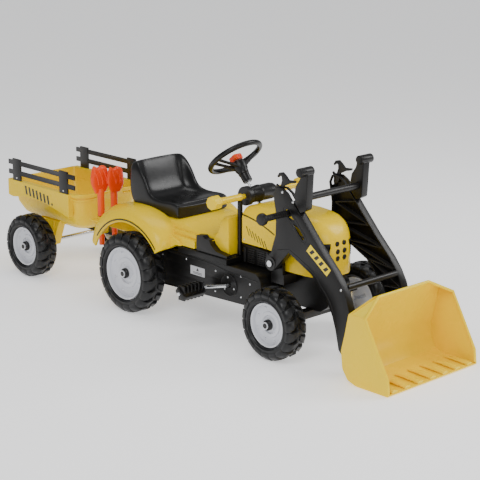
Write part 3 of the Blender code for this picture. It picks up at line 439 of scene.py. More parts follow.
# ------ seat
def seat():
    low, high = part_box("seat")
    half = high.y
    back, front, foot = low.x, high.x, low.z
    # inner point, outer point (x from the back, z from the foot), bolster height, half width share
    stations = [
        ((0.236, 0.030), (0.236, 0.004), 0.000, 0.93),
        ((0.240, 0.037), (0.238, 0.001), 0.001, 0.97),
        ((0.226, 0.0425), (0.222, 0.001), 0.003, 0.985),
        ((0.196, 0.0415), (0.190, 0.001), 0.004, 0.99),
        ((0.168, 0.0360), (0.160, 0.001), 0.007, 0.995),
        ((0.130, 0.0315), (0.118, 0.001), 0.013, 0.995),
        ((0.094, 0.0325), (0.070, 0.001), 0.022, 0.995),
        ((0.067, 0.0460), (0.024, 0.006), 0.033, 0.99),
        ((0.053, 0.0740), (0.004, 0.040), 0.032, 0.985),
        ((0.043, 0.1040), (0.002, 0.088), 0.023, 0.98),
        ((0.034, 0.1290), (0.005, 0.122), 0.014, 0.96),
        ((0.027, 0.1440), (0.009, 0.141), 0.007, 0.90),
        ((0.021, 0.1505), (0.013, 0.1490), 0.001, 0.84),
    ]
    rings = []
    for (ix, iz), (ox, oz), bolster, share in stations:
        inner = Vector((back + ix, foot + iz))
        outer = Vector((back + ox, foot + oz))
        lift = inner - outer
        lift = lift.normalized() if lift.length > 0 else Vector((0, 1))
        w = half * share
        ring = []
        for y, along, rise in ((w - 0.004, 0, 0), (w, 0.12, 0), (w, 0.9, 0),
                               (w - 0.001, 1, bolster), (w - 0.006, 1, bolster + 0.0025),
                               (w - 0.012, 1, bolster), (w - 0.018, 1, bolster * 0.55),
                               (w - 0.030, 1, bolster * 0.12), (w - 0.040, 1, 0),
                               (w * 0.35, 1, -0.0015), (0, 1, -0.002)):
            point = outer + (inner - outer) * along + lift * rise
            ring.append((point.x, y, point.y))
        ring += [(x, -y, z) for x, y, z in reversed(ring[:-1])]
        ring.append((outer.x, 0, outer.y))
        rings.append([(min(x, front), y, min(max(z, foot), high.z)) for x, y, z in ring])
    shape = Shape().loft(rings)
    shape.piece("seat_moulding", "chassis", SEAT, subdivide=2, stands_for=["seat"])
    pad = []
    for x0, w0, x1, w1, top in ((0.150, 0.062, 0.158, 0.060, 0.0385),
                                (0.190, 0.076, 0.190, 0.072, 0.0445),
                                (0.226, 0.076, 0.222, 0.072, 0.0450)):
        pad.append([(back + x, y, foot + z) for x, y, z in (
            (x0, -w0, 0.028), (x0, w0, 0.028), (x1, w1, top), (x1, -w1, top))])
    Shape().loft(pad).piece("seat_front_pad", "chassis", SEAT, bevel=0.004)


# ------ rear body
ARCH = Vector((-0.195, 0.112))
ARCH_R = 0.167


def fender(side_name):
    """One round-shouldered fender with a rolled lip, and the dark line along its arch."""
    side = SIDES[side_name]
    outer_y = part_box("body_shell")[1].y
    crest = [(158, 0.221), (150, 0.229), (138, 0.233), (122, 0.229), (105, 0.215), (90, 0.2095),
             (74, 0.2110), (60, 0.2150), (50, 0.2150), (43, 0.2110), (38, 0.2040), (35, 0.1960)]
    line = smooth_line([(angle, radius, 0) for angle, radius in crest], 3)
    rings = []
    for angle, top, _ in line:
        a = radians(angle)
        ring = [(0.106, top - 0.004), (0.106, top), (0.124, top)]
        for k in range(1, 8):
            t = QUARTER * k / 7
            ring.append((0.124 + (outer_y - 0.0005 - 0.124) * sin(t) ** 1.1,
                         ARCH_R + 0.004 + (top - ARCH_R - 0.004) * cos(t) ** 0.85))
        ring += [(outer_y, ARCH_R + 0.001), (outer_y - 0.003, ARCH_R - 0.0003),
                 (outer_y - 0.007, ARCH_R + 0.001), (outer_y - 0.009, ARCH_R + 0.008),
                 (0.160, top - 0.012), (0.120, top - 0.005)]
        rings.append([(ARCH.x + r * cos(a), side * y, ARCH.y + r * sin(a))
                      for y, r in ring])
    Shape().loft(rings).piece(f"fender_{side_name}", "chassis", YELLOW, crease=50)
    arc = []
    for i in range(40):
        a = radians(146 - 108 * i / 39)
        arc.append((ARCH.x + (ARCH_R + 0.0085) * cos(a), side * (outer_y - 0.0003),
                    ARCH.y + (ARCH_R + 0.0085) * sin(a)))
    stripe = Shape().sweep(arc, 0.0023, 8, 0.3)
    stripe.piece(f"fender_line_{side_name}", "chassis", BLACK)


def body():
    half = DECK_HALF
    outline = [
        (-0.392, 0.216), (-0.384, 0.240), (-0.364, 0.280), (-0.350, 0.292), (-0.328, 0.300),
        (-0.024, 0.300), (-0.006, 0.296), (0.022, 0.287), (0.108, 0.286), (0.126, 0.292),
        (0.138, 0.306), (0.152, 0.340), (0.160, 0.350), (0.172, 0.352), (0.180, 0.349),
        (0.1835, 0.335), (0.1835, DECK_UNDER), (-0.030, DECK_UNDER), (-0.040, 0.216),
    ]
    shape = Shape()
    rings = []
    for y, inset_z in ((-half, 0.010), (-half + 0.003, 0.004), (-half + 0.010, 0.0),
                       (half - 0.010, 0.0), (half - 0.003, 0.004), (half, 0.010)):
        rings.append([(x, y, z - (inset_z if z > 0.27 else 0)) for x, z in outline])
    shape.loft(rings)
    for side in SIDES.values():
        # a step beside the deck, its upper strip, and the blend from the fender to the step
        for outline, out in (
                ([(-0.070, 0.2345), (0.060, 0.2345), (0.060, 0.2600), (-0.060, 0.2620)], 0.1375),
                ([(-0.070, 0.2600), (0.118, 0.2600), (0.126, 0.2720), (-0.056, 0.2760)], 0.1240),
                ([(-0.078, 0.2160), (-0.052, 0.2150), (-0.018, 0.2345), (0.006, 0.2350),
                  (-0.004, 0.2500), (-0.080, 0.2700)], 0.1480)):
            shape.prism(outline, side * (half - 0.004), side * out)
    shape.piece("body_moulding", "chassis", YELLOW, bevel=0.0035, stands_for=["body_shell"])
    rack_low, rack_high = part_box("body_shell")[0].x, -0.380
    rack = Shape()
    rack.prism([(rack_low, -0.150), (rack_high, -0.150), (rack_high, -0.035), (rack_low, -0.035)],
               0.2358, 0.2380, "Z")
    for tool in ("rake", "shovel"):
        x, y, _ = box_of(f"toy_{tool}")[2]
        rack.lathe([(0.0102, 0), (0.0165, 0), (0.0165, 0.009), (0.0102, 0.009)], (0, 0, 0), 28,
                   Matrix.Translation((x + 0.004, y, 0.2460)) @ Matrix.Rotation(-QUARTER, 4, "X"))
    rack.piece("tool_rack_moulding", "chassis", YELLOW, bevel=0.001)
    for side_name in SIDES:
        fender(side_name)


# ------ toy tools
def tools():
    for name, claws, lean, depth in (("rake", 3, -0.004, 0.0085), ("shovel", 2, 0.009, 0.0062)):
        low, high, middle = box_of(f"toy_{name}")
        x, y = low.x + TOOL_COLLAR, middle.y
        half, foot = (high.y - low.y) / 2, TOOL_HEAD_FOOT
        tall = high.z - foot
        corners = [(-0.55, 0.0), (0.0, -0.02), (0.55, 0.0), (1.0, 0.24), (1.02, 0.55), (0.84, 0.86),
                   (0.30, 0.98), (-0.30, 0.93), (-0.72, 1.0), (-0.98, 0.72), (-1.02, 0.40)]
        outline = smooth_line([(y * half * 0.97, z * tall, 0) for y, z in corners + corners[:1]], 3)
        outline = outline[:-1]
        spot = x + lean
        rings = []
        for across, share in ((-1, 0.60), (-0.86, 0.84), (-0.5, 0.96), (0, 1.0), (0.5, 0.96),
                              (0.86, 0.84), (1, 0.60)):
            rings.append([(spot + depth * across, middle.y + p.x * share,
                           foot + tall / 2 + (p.y - tall / 2) * share) for p in outline])
        shape = Shape().loft(rings)
        for k in range(claws):
            root = y + (k - (claws - 1) / 2) * half * 0.50
            front = spot + depth
            claw = smooth_line([(front - 0.0010, root + 0.007, foot + tall * 0.32),
                                (front - 0.0005, root + 0.003, foot + tall * 0.58),
                                (front - 0.0020, root - 0.008, foot + tall * 0.82)], 5)
            shape.sweep(claw, [0.0034] * (len(claw) - 2) + [0.0026, 0.0016], 10)
        shape.rod((x, y, low.z + 0.0005), (x, y, foot + 0.014), 0.0090, 28)
        shape.rod((x, y, 0.2480), (x, y, foot + 0.016), 0.0116, 28)
        shape.piece(f"tool_{name}", name, ORANGE, stands_for=[f"toy_{name}"], crease=60)


# ------ hood
def arch_ring(x, half, low, top, corner, steps=8):
    """A section across the hood at x: upright sides and a rounded top."""
    ring = [(x, -half, low), (x, -half, top - corner)]
    for side, first in ((-1, pi), (1, QUARTER)):
        for i in range(1, steps + 1):
            a = first - QUARTER * i / steps
            ring.append((x, side * (half - corner) + corner * cos(a),
                         top - corner + corner * sin(a)))
    ring.append((x, half, low))
    return ring


def hood():
    low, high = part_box("hood")
    half = high.y
    stations = [
        (low.x, half, 0.276, 0.385, 0.034), (0.250, half, 0.276, 0.390, 0.035),
        (0.300, half, 0.276, 0.393, 0.036), (0.352, half, 0.274, 0.397, 0.038),
        (0.356, half, 0.2258, 0.397, 0.038), (0.400, half - 0.0005, 0.2258, 0.398, 0.040),
        (0.440, half - 0.002, 0.2258, 0.3965, 0.042), (0.470, half - 0.004, 0.2258, 0.392, 0.044),
        (0.490, half - 0.008, 0.2258, 0.384, 0.045), (0.508, half - 0.017, 0.2258, 0.373, 0.046),
        (0.522, half - 0.029, 0.2258, 0.356, 0.044), (0.531, half - 0.042, 0.2258, 0.336, 0.036),
        (high.x - 0.001, half - 0.054, 0.2262, 0.312, 0.026),
    ]
    shape = Shape().loft([arch_ring(*station) for station in stations])
    shape.piece("hood_moulding", "chassis", YELLOW, bevel=0.0025, stands_for=["hood"])
    side_line = [(x, out) for x, out, *_ in stations if 0.500 < x < 0.533]
    trims = Shape()
    for side in SIDES.values():
        face = side * (half + PROUD)
        stripe = smooth_line([(0.216, face, 0.363), (0.262, face, 0.356), (0.310, face, 0.342),
                              (0.350, face, 0.326)], 6)
        trims.sweep(stripe, 0.0021, 8, 0.3)
        for k in range(7):
            x = 0.232 + 0.0125 * k
            z = 0.330 - 0.0050 * k
            trims.sweep([(x, face, z), (x + 0.0065, face, z - 0.013), (x + 0.013, face, z - 0.026)],
                        0.0015, 6, 0.4)
        # side grille: a dark panel with level bars, bent round the corner of the nose
        for low_z, high_z, lift in [(0.276, 0.333, 0.0004)] + [
                (0.2790 + 0.0068 * k, 0.2818 + 0.0068 * k, 0.0022) for k in range(8)]:
            rings = []
            for x, out in side_line:
                top = min(high_z, 0.333 - max(0.0, x - 0.508) * 1.1)
                rings.append([(x, side * (out + lift), low_z), (x, side * (out + lift), top),
                              (x, side * (out - 0.004), top), (x, side * (out - 0.004), low_z)])
            trims.loft(rings)
    trims.piece("hood_trims", "chassis", BLACK, bevel=0.0004)
    lamps, screws = Shape(), Shape()
    for side in SIDES.values():
        for z, back in ((0.322, 0.0065), (0.300, 0.0040), (0.280, 0.0040)):
            lamps.lathe([(0.0005, 0), (0.0078, 0), (0.0078, 0.0040), (0.0055, 0.0055),
                         (0.0005, 0.0060)], (0, 0, 0), 24,
                        Matrix.Translation((high.x - back, side * 0.014, z))
                        @ Matrix.Rotation(-QUARTER, 4, "Z"))
        screws.dome((0.222, side * half, 0.288), 0.0036, 0.0014, (0, side, 0))
    lamps.piece("hood_lamps", "chassis", BLACK)
    screws.piece("hood_screws", "chassis", STEEL)


# ------ dash and steering
def dash():
    low, high, middle = box_of("dash_drum")
    x, z = middle.x, middle.z
    ends = (low.y, high.y)
    profile = [(0.0080, ends[0]), (0.0275, ends[0]), (0.0290, ends[0] + 0.002),
               (0.0290, ends[0] + 0.016), (0.0275, ends[0] + 0.018), (0.0225, ends[0] + 0.023),
               (0.0240, ends[0] + 0.030), (0.0248, ends[0] + 0.052), (0.0262, ends[0] + 0.054),
               (0.0262, ends[0] + 0.062), (0.0248, ends[0] + 0.064), (0.0248, ends[1] - 0.014),
               (0.0225, ends[1] - 0.003), (0.0205, ends[1]), (0.0080, ends[1])]
    Shape().lathe(profile, (x, 0, z), 72).piece("drum_moulding", "chassis", BLACK,
                                               stands_for=["dash_drum"])
    bar = Shape()
    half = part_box("dash_bar")[1].y
    bar.lathe([(0.0005, -half + 0.034), (0.0104, -half + 0.034), (0.0104, -0.075),
               (0.0074, -0.072), (0.0074, 0.072), (0.0104, 0.075), (0.0104, half - 0.034),
               (0.0005, half - 0.034)], (x, 0, z), 40)
    for side in SIDES.values():
        knob = [(0.0005, side * (half - 0.036)), (0.0150, side * (half - 0.036)),
                (0.0212, side * (half - 0.030)), (0.0212, side * (half - 0.005)),
                (0.0180, side * (half - 0.0004)), (0.0005, side * (half - 0.0004))]
        bar.lathe(knob, (x, 0, z), 8)
    bar.piece("bar_moulding", "chassis", YELLOW, bevel=0.0018, stands_for=["dash_bar"])
    for side_name in SIDES:
        softened(f"dash_post_{side_name}", f"post_{side_name}", "chassis", BLACK, 0.003)


def column_place():
    """Local -Z runs down the steering column from the middle of the wheel."""
    joint = JOINTS["steering_turn"]
    up = Vector(joint["axis"]).normalized()
    turn = Vector((0, 0, 1)).rotation_difference(up)
    return Matrix.Translation(joint["pos_m"]) @ turn.to_matrix().to_4x4()


def steering():
    place = column_place()
    level = place @ Matrix.Rotation(QUARTER, 4, "X")
    shape = Shape()
    ring, tube = 0.0828, 0.0084
    shape.lathe([(ring + tube * cos(TURN * k / 16), tube * sin(TURN * k / 16))
                 for k in range(16)], (0, 0, 0), 96, level)
    for angle in (90, -90, 180):
        a = radians(angle)
        for shift in (-0.0085, 0.0085):
            across = Vector((-sin(a), cos(a), 0)) * shift
            start = Vector((cos(a) * 0.014, sin(a) * 0.014, -0.034)) + across
            bend = Vector((cos(a) * 0.052, sin(a) * 0.052, -0.016)) + across * 1.15
            end = Vector((cos(a) * ring, sin(a) * ring, -0.001)) + across * 1.3
            shape.sweep([place @ p for p in (start, bend, end)], [0.0060, 0.0046, 0.0052], 10)
    hub = [(0.0005, -0.0182), (0.0190, -0.0182), (0.0225, -0.0215), (0.0225, -0.034),
           (0.0200, -0.046), (0.0170, -0.052), (0.0170, -0.060), (0.0152, -0.062),
           (0.0150, -0.084), (0.0135, -0.0878), (0.0060, -0.0878), (0.0005, -0.080)]
    shape.lathe(hub, (0, 0, 0), 48, level)
    shape.piece("steering_wheel_moulding", "steering", BLACK, stands_for=["steering_wheel"])
    horn = Shape()
    horn.prism([(-0.0165, -0.0125), (-0.0125, -0.0165), (0.0125, -0.0165), (0.0165, -0.0125),
                (0.0165, 0.0125), (0.0125, 0.0165), (-0.0125, 0.0165), (-0.0165, 0.0125)],
               -0.0138, 0.0038, "Z", place)
    horn.piece("horn_moulding", "horn", ORANGE, bevel=0.0035, stands_for=["horn_button"])


# ------ chassis details
def chassis():
    trims, screws, label, marks = (Shape() for _ in range(4))
    for side_name, side in SIDES.items():
        case = f"side_case_{side_name}"
        face = face_y(case, side)
        softened(case, f"case_{side_name}", "chassis", BLACK, 0.003)
        board = f"foot_board_{side_name}"
        low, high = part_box(board)
        softened(board, f"board_{side_name}", "chassis", BLACK, 0.002)
        for k in range(6):
            y = low.y + 0.012 + (high.y - low.y - 0.024) * k / 5
            trims.box((low.x + 0.008, y - 0.0028, high.z - 0.001),
                      (high.x - 0.010, y + 0.0028, high.z + 0.0016))
        # curved foot rest behind the post, sitting on the foot board
        foot = high.z + 0.0006
        rest = [(0.066, foot), (0.066, 0.280), (0.094, 0.284), (0.103, 0.276), (0.122, 0.275),
                (0.131, 0.261), (0.152, 0.246), (0.200, 0.240), (0.200, foot)]
        trims.prism(rest, side * 0.1135, side * 0.1345)
        joint = JOINTS["crank_spin"]["pos_m"]
        at = (joint[0], 0, joint[2])
        disc = [(0.0085, face - side * 0.001), (0.0345, face - side * 0.001),
                (0.0345, face + side * 0.0020), (0.0325, face + side * 0.0032),
                (0.0300, face + side * 0.0022), (0.0085, face + side * 0.0022)]
        trims.lathe(disc, at, 56)
        for k in range(3):
            a = radians(100 - 120 * k)
            spot = (at[0] + 0.0235 * cos(a), face + side * 0.0020, at[2] + 0.0235 * sin(a))
            label.dome(spot, 0.0036, 0.0006, (0, side, 0), 16, 2)
        for x, z in ((-0.090, 0.188), (0.020, 0.196), (0.152, 0.186), (0.262, 0.192),
                     (0.300, 0.176), (0.262, 0.128), (0.150, 0.122)):
            screws.dome((x, face, z), 0.0034, 0.0014, (0, side, 0), 12, 3)
        crease = smooth_line([(-0.100, face, 0.204), (0.120, face, 0.204), (0.200, face, 0.196),
                              (0.330, face, 0.190)], 5)
        trims.sweep(crease, 0.0022, 8, 0.6)
    case_label(label, marks)
    trims.piece("chassis_trims", "chassis", BLACK, bevel=0.0006)
    screws.piece("case_screws", "chassis", STEEL)
    label.piece("case_label", "chassis", LABEL)
    marks.piece("case_label_marks", "chassis", BLACK)

    engine()
    for node in ("main_frame", "front_axle_beam"):
        softened(node, f"{node}_moulding", "chassis", BLACK, 0.002)


def case_label(label, marks):
    """A plain plate on the right case, with generic marks in place of its words."""
    right = face_y("side_case_right", -1)
    label.prism([(0.040, 0.154), (0.104, 0.154), (0.104, 0.181), (0.040, 0.181)],
                right - PROUD * 2, right + 0.001)
    face = right - PROUD * 2
    marks.prism([(0.066, 0.168), (0.078, 0.168), (0.072, 0.177)], face - PROUD, face)
    for z in (0.158, 0.162):
        marks.box((0.052, face - PROUD, z), (0.092, face, z + 0.0014))


def engine():
    """The engine block and its vent fins."""
    softened("engine_block", "engine_moulding", "chassis", BLACK, 0.002)
    fins = Shape()
    for side in SIDES.values():
        face = face_y("engine_block", side)
        near, far = face - side * 0.001, face + side * 0.0035
        for k in range(7):
            z = 0.2185 + 0.0066 * k
            fins.box((0.232, near, z), (0.262, far, z + 0.0032))
            fins.box((0.274, near, z), (0.304, far, z + 0.0032))
        fins.box((0.312, near, 0.2165), (0.320, far, 0.262))
        fins.box((0.216, near, 0.2165), (0.224, far, 0.262))
    fins.piece("engine_fins", "chassis", BLACK, bevel=0.0006)


def pedals():
    for side_name in SIDES:
        node = f"pedal_{side_name}"
        low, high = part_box(node)
        shape = Shape().node(node)
        for k in range(6):
            y = low.y + 0.010 + (high.y - low.y - 0.020) * k / 5
            shape.box((low.x + 0.010, y - 0.0030, low.z - 0.0012),
                      (high.x - 0.010, y + 0.0030, high.z + 0.0012))
        shape.piece(f"pedal_block_{side_name}", node, BLACK, bevel=0.003, stands_for=[node])
    softened("crank_rod", "crank_bar", "crank", STEEL, 0.0008)


# ------ loader
def loader():
    flange, rivets, sticker, marks = (Shape() for _ in range(4))
    for side_name, side in SIDES.items():
        arm = f"arm_{side_name}"
        face, inner = face_y(arm, side), face_y(arm, -side)
        softened(arm, f"loader_{arm}", "loader", BLACK, 0.0016)
        # diagonal stiffening ribs inside the open side of the arm
        ribs = Shape()
        front = [(0.493, 0.420), (0.548, 0.358), (0.604, 0.300), (0.650, 0.246), (0.676, 0.196)]
        rear = [(0.410, 0.404), (0.408, 0.346), (0.456, 0.300), (0.548, 0.258), (0.610, 0.190)]
        near, far = inner + side * 0.002, inner + side * 0.018
        for i in range(len(front)):
            ribs.prism(bar_outline(rear[i], front[i], 0.0016), near, far)
            if i + 1 < len(front):
                ribs.prism(bar_outline(rear[i], front[i + 1], 0.0014), near, far)
        ribs.piece(f"arm_ribs_{side_name}", "loader", BLACK)
        for x, z in ((0.466, 0.452), (0.655, 0.236), (0.424, 0.474)):
            rivets.dome((x, face, z), 0.0042, 0.0022, (0, side, 0))
        for joint, bore, rim_r, proud, sides in (("loader_lift", 0.0130, 0.0200, 0.0016, 48),
                                                 ("bucket_tilt", 0.0088, 0.0150, 0.0014, 40)):
            at = JOINTS[joint]["pos_m"]
            near, far = face - side * 0.0005, face + side * proud
            flange.lathe([(bore, near), (rim_r, near), (rim_r, far), (bore, far)],
                         (at[0], 0, at[2]), sides)
        bead = smooth_line([(0.405, face, 0.300), (0.446, face, 0.310), (0.470, face, 0.304),
                            (0.545, face, 0.267), (0.580, face, 0.230), (0.612, face, 0.194),
                            (0.633, face, 0.150), (0.645, face, 0.116)], 5)
        flange.sweep(bead, 0.0014, 8, 0.7)
        sticker_on(sticker, marks, side, face)
        head = f"arm_head_{side_name}"
        softened(head, f"loader_{head}", "loader", BLACK, 0.0018)
        latch = f"latch_{side_name}"
        softened(latch, f"{latch}_hook", latch, BLACK, 0.0008)
    slot_frame(flange)
    flange.piece("arm_beads", "loader", BLACK)
    rivets.piece("arm_rivets", "loader", STEEL)
    sticker.piece("arm_stickers", "loader", YELLOW)
    marks.piece("arm_sticker_marks", "loader", BLACK)
    crossbars()
    lever()


def slot_frame(flange):
    """Raised frame round the lever's slot, on the right arm only."""
    face = face_y("arm_right", -1)
    start, end = Vector((0.440, 0.424)), Vector((0.508, 0.354))
    line = (end - start).normalized()
    wide = Vector((-line.y, line.x))
    loop = []
    for middle, first in ((end, -QUARTER), (start, QUARTER)):
        for k in range(9):
            a = first + pi * k / 8
            spot = middle + line * 0.0120 * cos(a) + wide * 0.0120 * sin(a)
            loop.append((spot.x, face, spot.y))
    loop.append(loop[0])
    flange.sweep(loop, 0.0013, 8, 0.7)


def sticker_on(sticker, marks, side, face):
    """A yellow sticker with plain slanted bars in place of a name."""
    along = Vector((0.602 - 0.517, 0.256 - 0.318)).normalized()
    wide = Vector((-along.y, along.x))
    corner = Vector((0.522, 0.322))
    corners = [corner, corner + along * 0.098, corner + along * 0.098 + wide * 0.026,
               corner + wide * 0.026]
    sticker.prism([tuple(c) for c in corners], face, face + side * PROUD)
    for k in range(4):
        base = corner + along * (0.010 + 0.022 * k) + wide * 0.005
        bar = [base, base + along * 0.010, base + along * 0.015 + wide * 0.016,
               base + along * 0.005 + wide * 0.016]
        marks.prism([tuple(c) for c in bar], face + side * PROUD, face + side * PROUD * 2)


def crossbars():
    for bar in ("upper_crossbar", "lower_crossbar"):
        low, high, middle = box_of(bar)
        radius = (high.z - low.z) / 2
        Shape().rod((middle.x, low.y, middle.z), (middle.x, high.y, middle.z), radius * 0.99,
                    40).piece(f"{bar}_tube", "loader", BLACK, stands_for=[bar])


def lever():
    low, high, middle = box_of("bucket_lever")
    x, z = middle.x, middle.z
    lever = Shape()
    lever.lathe([(0.0005, high.y), (0.0054, high.y), (0.0054, -0.1310), (0.0094, -0.1320),
                 (0.0094, -0.218), (0.0130, -0.2215), (0.0172, -0.2235), (0.0178, -0.2270),
                 (0.0178, -0.2330), (0.0160, low.y + 0.001), (0.0100, low.y), (0.0005, low.y)],
                (x, 0, z), 48)
    lever.lathe([(0.0050, -0.1225), (0.0114, -0.1225), (0.0114, -0.1116), (0.0050, -0.1116)],
                (x, 0, z), 40)
    for k in range(9):
        y = -0.140 - 0.0085 * k
        lever.lathe([(0.0085, y), (0.0095, y), (0.0095, y - 0.0040), (0.0085, y - 0.0040)],
                    (x, 0, z), 40)
    lever.piece("lever_grip", "lever", BLACK, stands_for=["bucket_lever"])


def bar_outline(start, end, half_width):
    """A thin straight bar between two points, as four corners."""
    start, end = Vector(start), Vector(end)
    along = (end - start).normalized()
    wide = Vector((-along.y, along.x)) * half_width
    return [tuple(start + wide), tuple(start - wide), tuple(end - wide), tuple(end + wide)]


def bucket():
    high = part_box("bucket")[1]
    half = high.y
    softened("bucket", "bucket_shell", "bucket", YELLOW, 0.0030)
    details = Shape()
    count = 7
    for k in range(count):
        y = -half + 0.030 + (2 * half - 0.060) * k / (count - 1)
        rib = smooth_line([(0.796, y, 0.0090), (0.832, y, 0.0120), (0.862, y, 0.0120),
                           (high.x - 0.002, y, 0.0095)], 4)
        details.sweep(rib, [0.0020 + 0.0040 * min(1, i / 6) for i in range(len(rib))], 12, 1.9)
    # thick rolled rim round the mouth
    mouth = [(0.886, 0.010), (0.8825, 0.046), (0.828, 0.144), (0.7975, 0.1985)]
    for side in SIDES.values():
        rolled = [(x, side * (half - 0.0045), z) for x, z in mouth]
        rolled.append((0.7735, side * 0.106, 0.2385))
        details.sweep(rolled, BUCKET_RIM, 12)
        # the web that closes the cut corner between the rim and the back wall
        web = [(0.7975, 0.1865, 0.1990), (0.7460, 0.1865, 0.2010), (0.7660, 0.1060, 0.2400),
               (0.7740, 0.1060, 0.2400)]
        details.loft([[(x, side * y, z - drop) for x, y, z in web] for drop in (0.0035, 0)])
    details.rod((0.7725, -0.107, 0.2385), (0.7725, 0.107, 0.2385), BUCKET_RIM, 16)
    details.piece("bucket_details", "bucket", YELLOW, crease=50)


# ------ trailer
def plan_ring(rear, front, half, r_rear, r_front, z, steps=8):
    """A rounded rectangle seen from above, at height z."""
    ring = []
    for x, y, radius, start in ((front, half, r_front, 0), (rear, half, r_rear, 90),
                                (rear, -half, r_rear, 180), (front, -half, r_front, 270)):
        cx = x - copysign(radius, x - (rear + front) / 2)
        cy = y - copysign(radius, y)
        for i in range(steps + 1):
            a = radians(start + 90 * i / steps)
            ring.append((cx + radius * cos(a), cy + radius * sin(a), z))
    return ring


def trailer():
    low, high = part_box("trailer_tub")
    rear, front, half, top = low.x, high.x, high.y, high.z
    floor = 0.172
    levels = [
        (0.050, 0.045, 0.046, 0.030, 0.045, floor),
        (0.034, 0.030, 0.026, 0.026, 0.050, floor + 0.018),
        (0.018, 0.016, 0.014, 0.020, 0.055, floor + 0.048),
        (0.010, 0.010, 0.010, 0.016, 0.058, top - 0.040),
        (0.006, 0.007, 0.007, 0.014, 0.060, top - 0.016),
        (0.001, 0.001, 0.0012, 0.014, 0.062, top - 0.011),
        (0.0005, 0.0005, 0.0004, 0.014, 0.062, top - 0.004),
        (0.002, 0.002, 0.002, 0.014, 0.061, top - 0.0006),
        (0.006, 0.006, 0.006, 0.013, 0.058, top - 0.0006),
        (0.008, 0.010, 0.009, 0.012, 0.055, top - 0.006),
        (0.012, 0.014, 0.012, 0.014, 0.055, top - 0.040),
        (0.023, 0.021, 0.018, 0.018, 0.052, floor + 0.050),
        (0.040, 0.036, 0.034, 0.022, 0.046, floor + 0.018),
        (0.055, 0.050, 0.050, 0.028, 0.043, floor + 0.004),
    ]
    rings = [plan_ring(rear + a, front - b, half - c, d, e, z) for a, b, c, d, e, z in levels]
    Shape().loft(rings).piece("tub_moulding", "trailer", YELLOW, stands_for=["trailer_tub"],
                              crease=55)
    skirt, marks, screws = (Shape() for _ in range(3))
    for side_name, side in SIDES.items():
        lower = smooth_line([(rear + 0.002, 0.244), (rear + 0.030, 0.240), (-0.797, 0.249),
                             (-0.711, 0.250), (-0.639, 0.240), (-0.568, 0.224), (-0.548, 0.222)], 5)
        outline = [tuple(p) for p in lower]
        outline += [(-0.548, top - 0.001), (rear + 0.002, top - 0.001)]
        skirt.prism(outline, side * (half - 0.012), side * SKIRT_OUT)
        crease = smooth_line([(-0.560, side * (half - 0.004), 0.282),
                              (-0.524, side * (half - 0.016), 0.278),
                              (-0.5065, side * (half - 0.046), 0.279),
                              (-0.5050, side * 0.050, 0.282)], 5)
        skirt.sweep(crease, 0.0026, 10)
        wheel_x = box_of("trailer_axle")[2].x
        leg = [(wheel_x - 0.016, 0.093), (wheel_x + 0.016, 0.093), (wheel_x + 0.030, 0.130),
               (wheel_x + 0.052, 0.182), (wheel_x - 0.052, 0.182), (wheel_x - 0.030, 0.130)]
        skirt.prism(leg, side * 0.082, side * 0.112)
        for shift in (-0.012, 0.012):
            skirt.prism([(wheel_x + shift - 0.003, 0.112), (wheel_x + shift + 0.003, 0.112),
                         (wheel_x + shift * 2.2 + 0.003, 0.178),
                         (wheel_x + shift * 2.2 - 0.003, 0.178)], side * 0.110, side * 0.1150)
        near, far = side * (SKIRT_OUT - 0.001), side * (SKIRT_OUT + PROUD)
        for k in range(7):
            x = -0.790 + 0.0205 * k
            z = 0.2600 - 0.0022 * k
            marks.prism([(x + 0.0060, z), (x + 0.0150, z), (x + 0.0090, z + 0.030), (x, z + 0.030)],
                        near, far)
        marks.prism(circle((-0.638, 0.2505), 0.0042, 14), near, far)
        rail = f"rail_{side_name}"
        softened(rail, f"{rail}_moulding", "trailer", BLACK, 0.0012)
        face = face_y(rail, side)
        for x in (-0.838, -0.576):
            screws.dome((x, face, 0.308), 0.0034, 0.0012, (0, side, 0))
    skirt.piece("tub_details", "trailer", YELLOW, bevel=0.0018)
    marks.piece("tub_marks", "trailer", BLACK)
    screws.piece("rail_screws", "trailer", STEEL)
    softened("trailer_tongue", "tongue_moulding", "trailer", BLACK, 0.0015)


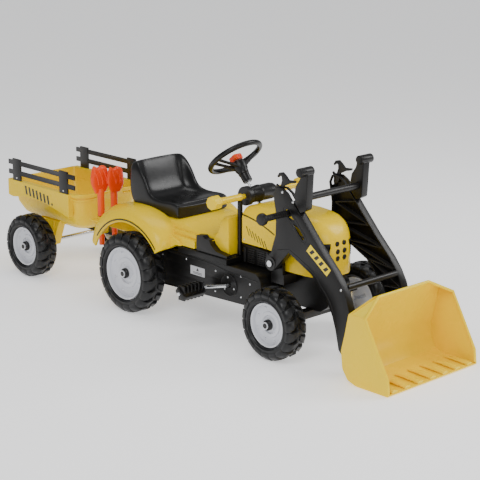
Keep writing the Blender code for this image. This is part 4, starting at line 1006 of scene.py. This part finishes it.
# ------ stage
def stage():
    floor = bpy.data.meshes.new("floor")
    reach = 14
    floor.from_pydata([(-reach, -reach, 0), (reach, -reach, 0), (reach, reach, 0),
                       (-reach, reach, 0)], [], [(0, 1, 2, 3)])
    paper = bpy.data.materials.new("pale_floor")
    paper.use_nodes = True
    shader = paper.node_tree.nodes["Principled BSDF"]
    shader.inputs["Base Color"].default_value = (0.92, 0.92, 0.93, 1)
    shader.inputs["Roughness"].default_value = 0.75
    shader.inputs["Emission Color"].default_value = (1, 1, 1, 1)
    shader.inputs["Emission Strength"].default_value = 0.62
    floor.materials.append(paper)
    placed("floor", floor)

    world = bpy.data.worlds.new("studio")
    bpy.context.scene.world = world
    world.use_nodes = True
    background = world.node_tree.nodes["Background"]
    background.inputs["Color"].default_value = (0.97, 0.98, 1.0, 1)
    background.inputs["Strength"].default_value = 0.34

    def soft_light(name, place, aim, size, power):
        data = bpy.data.lights.new(name, "AREA")
        data.shape = "RECTANGLE"
        data.size, data.size_y = size
        data.energy = power
        item = placed(name, data)
        item.location = place
        item.rotation_euler = (Vector(aim) - Vector(place)).to_track_quat("-Z", "Y").to_euler()

    soft_light("key", (1.6, -2.6, 2.9), (0, 0, 0.2), (1.8, 1.8), 58)
    soft_light("top", (-0.4, 0.3, 3.2), (0, 0, 0.2), (2.6, 1.6), 30)
    soft_light("front", (3.2, -0.4, 1.4), (0.2, 0, 0.25), (1.4, 1.2), 16)
    soft_light("edge", (1.9, 2.1, 2.1), (0.5, 0, 0.25), (1.4, 1.4), 42)


def camera():
    azimuth, elevation, distance = radians(46.5), radians(15.3), 4.668
    target = Vector((0.116, 0, 0.249))
    back = Vector((sin(azimuth) * cos(elevation),
                   -cos(azimuth) * cos(elevation), sin(elevation)))
    data = bpy.data.cameras.new("camera")
    data.lens = 114.4
    data.sensor_width = 36
    item = placed("camera", data)
    item.location = target + back * distance
    item.rotation_euler = (-back).to_track_quat("-Z", "Y").to_euler()
    bpy.context.scene.camera = item


def finish_cad_nodes():
    """Gives each CAD node that still shows its moulded or plated finish."""
    slots = {part["node"]: part["material_slot"] for part in frame["record"]["subparts"]}
    for name, item in NODES.items():
        item.data.materials.clear()
        item.data.materials.append(FINISH[slots[name]])


finish_cad_nodes()
wheels()
seat()
body()
tools()
hood()
dash()
steering()
chassis()
pedals()
loader()
bucket()
trailer()
stage()
camera()
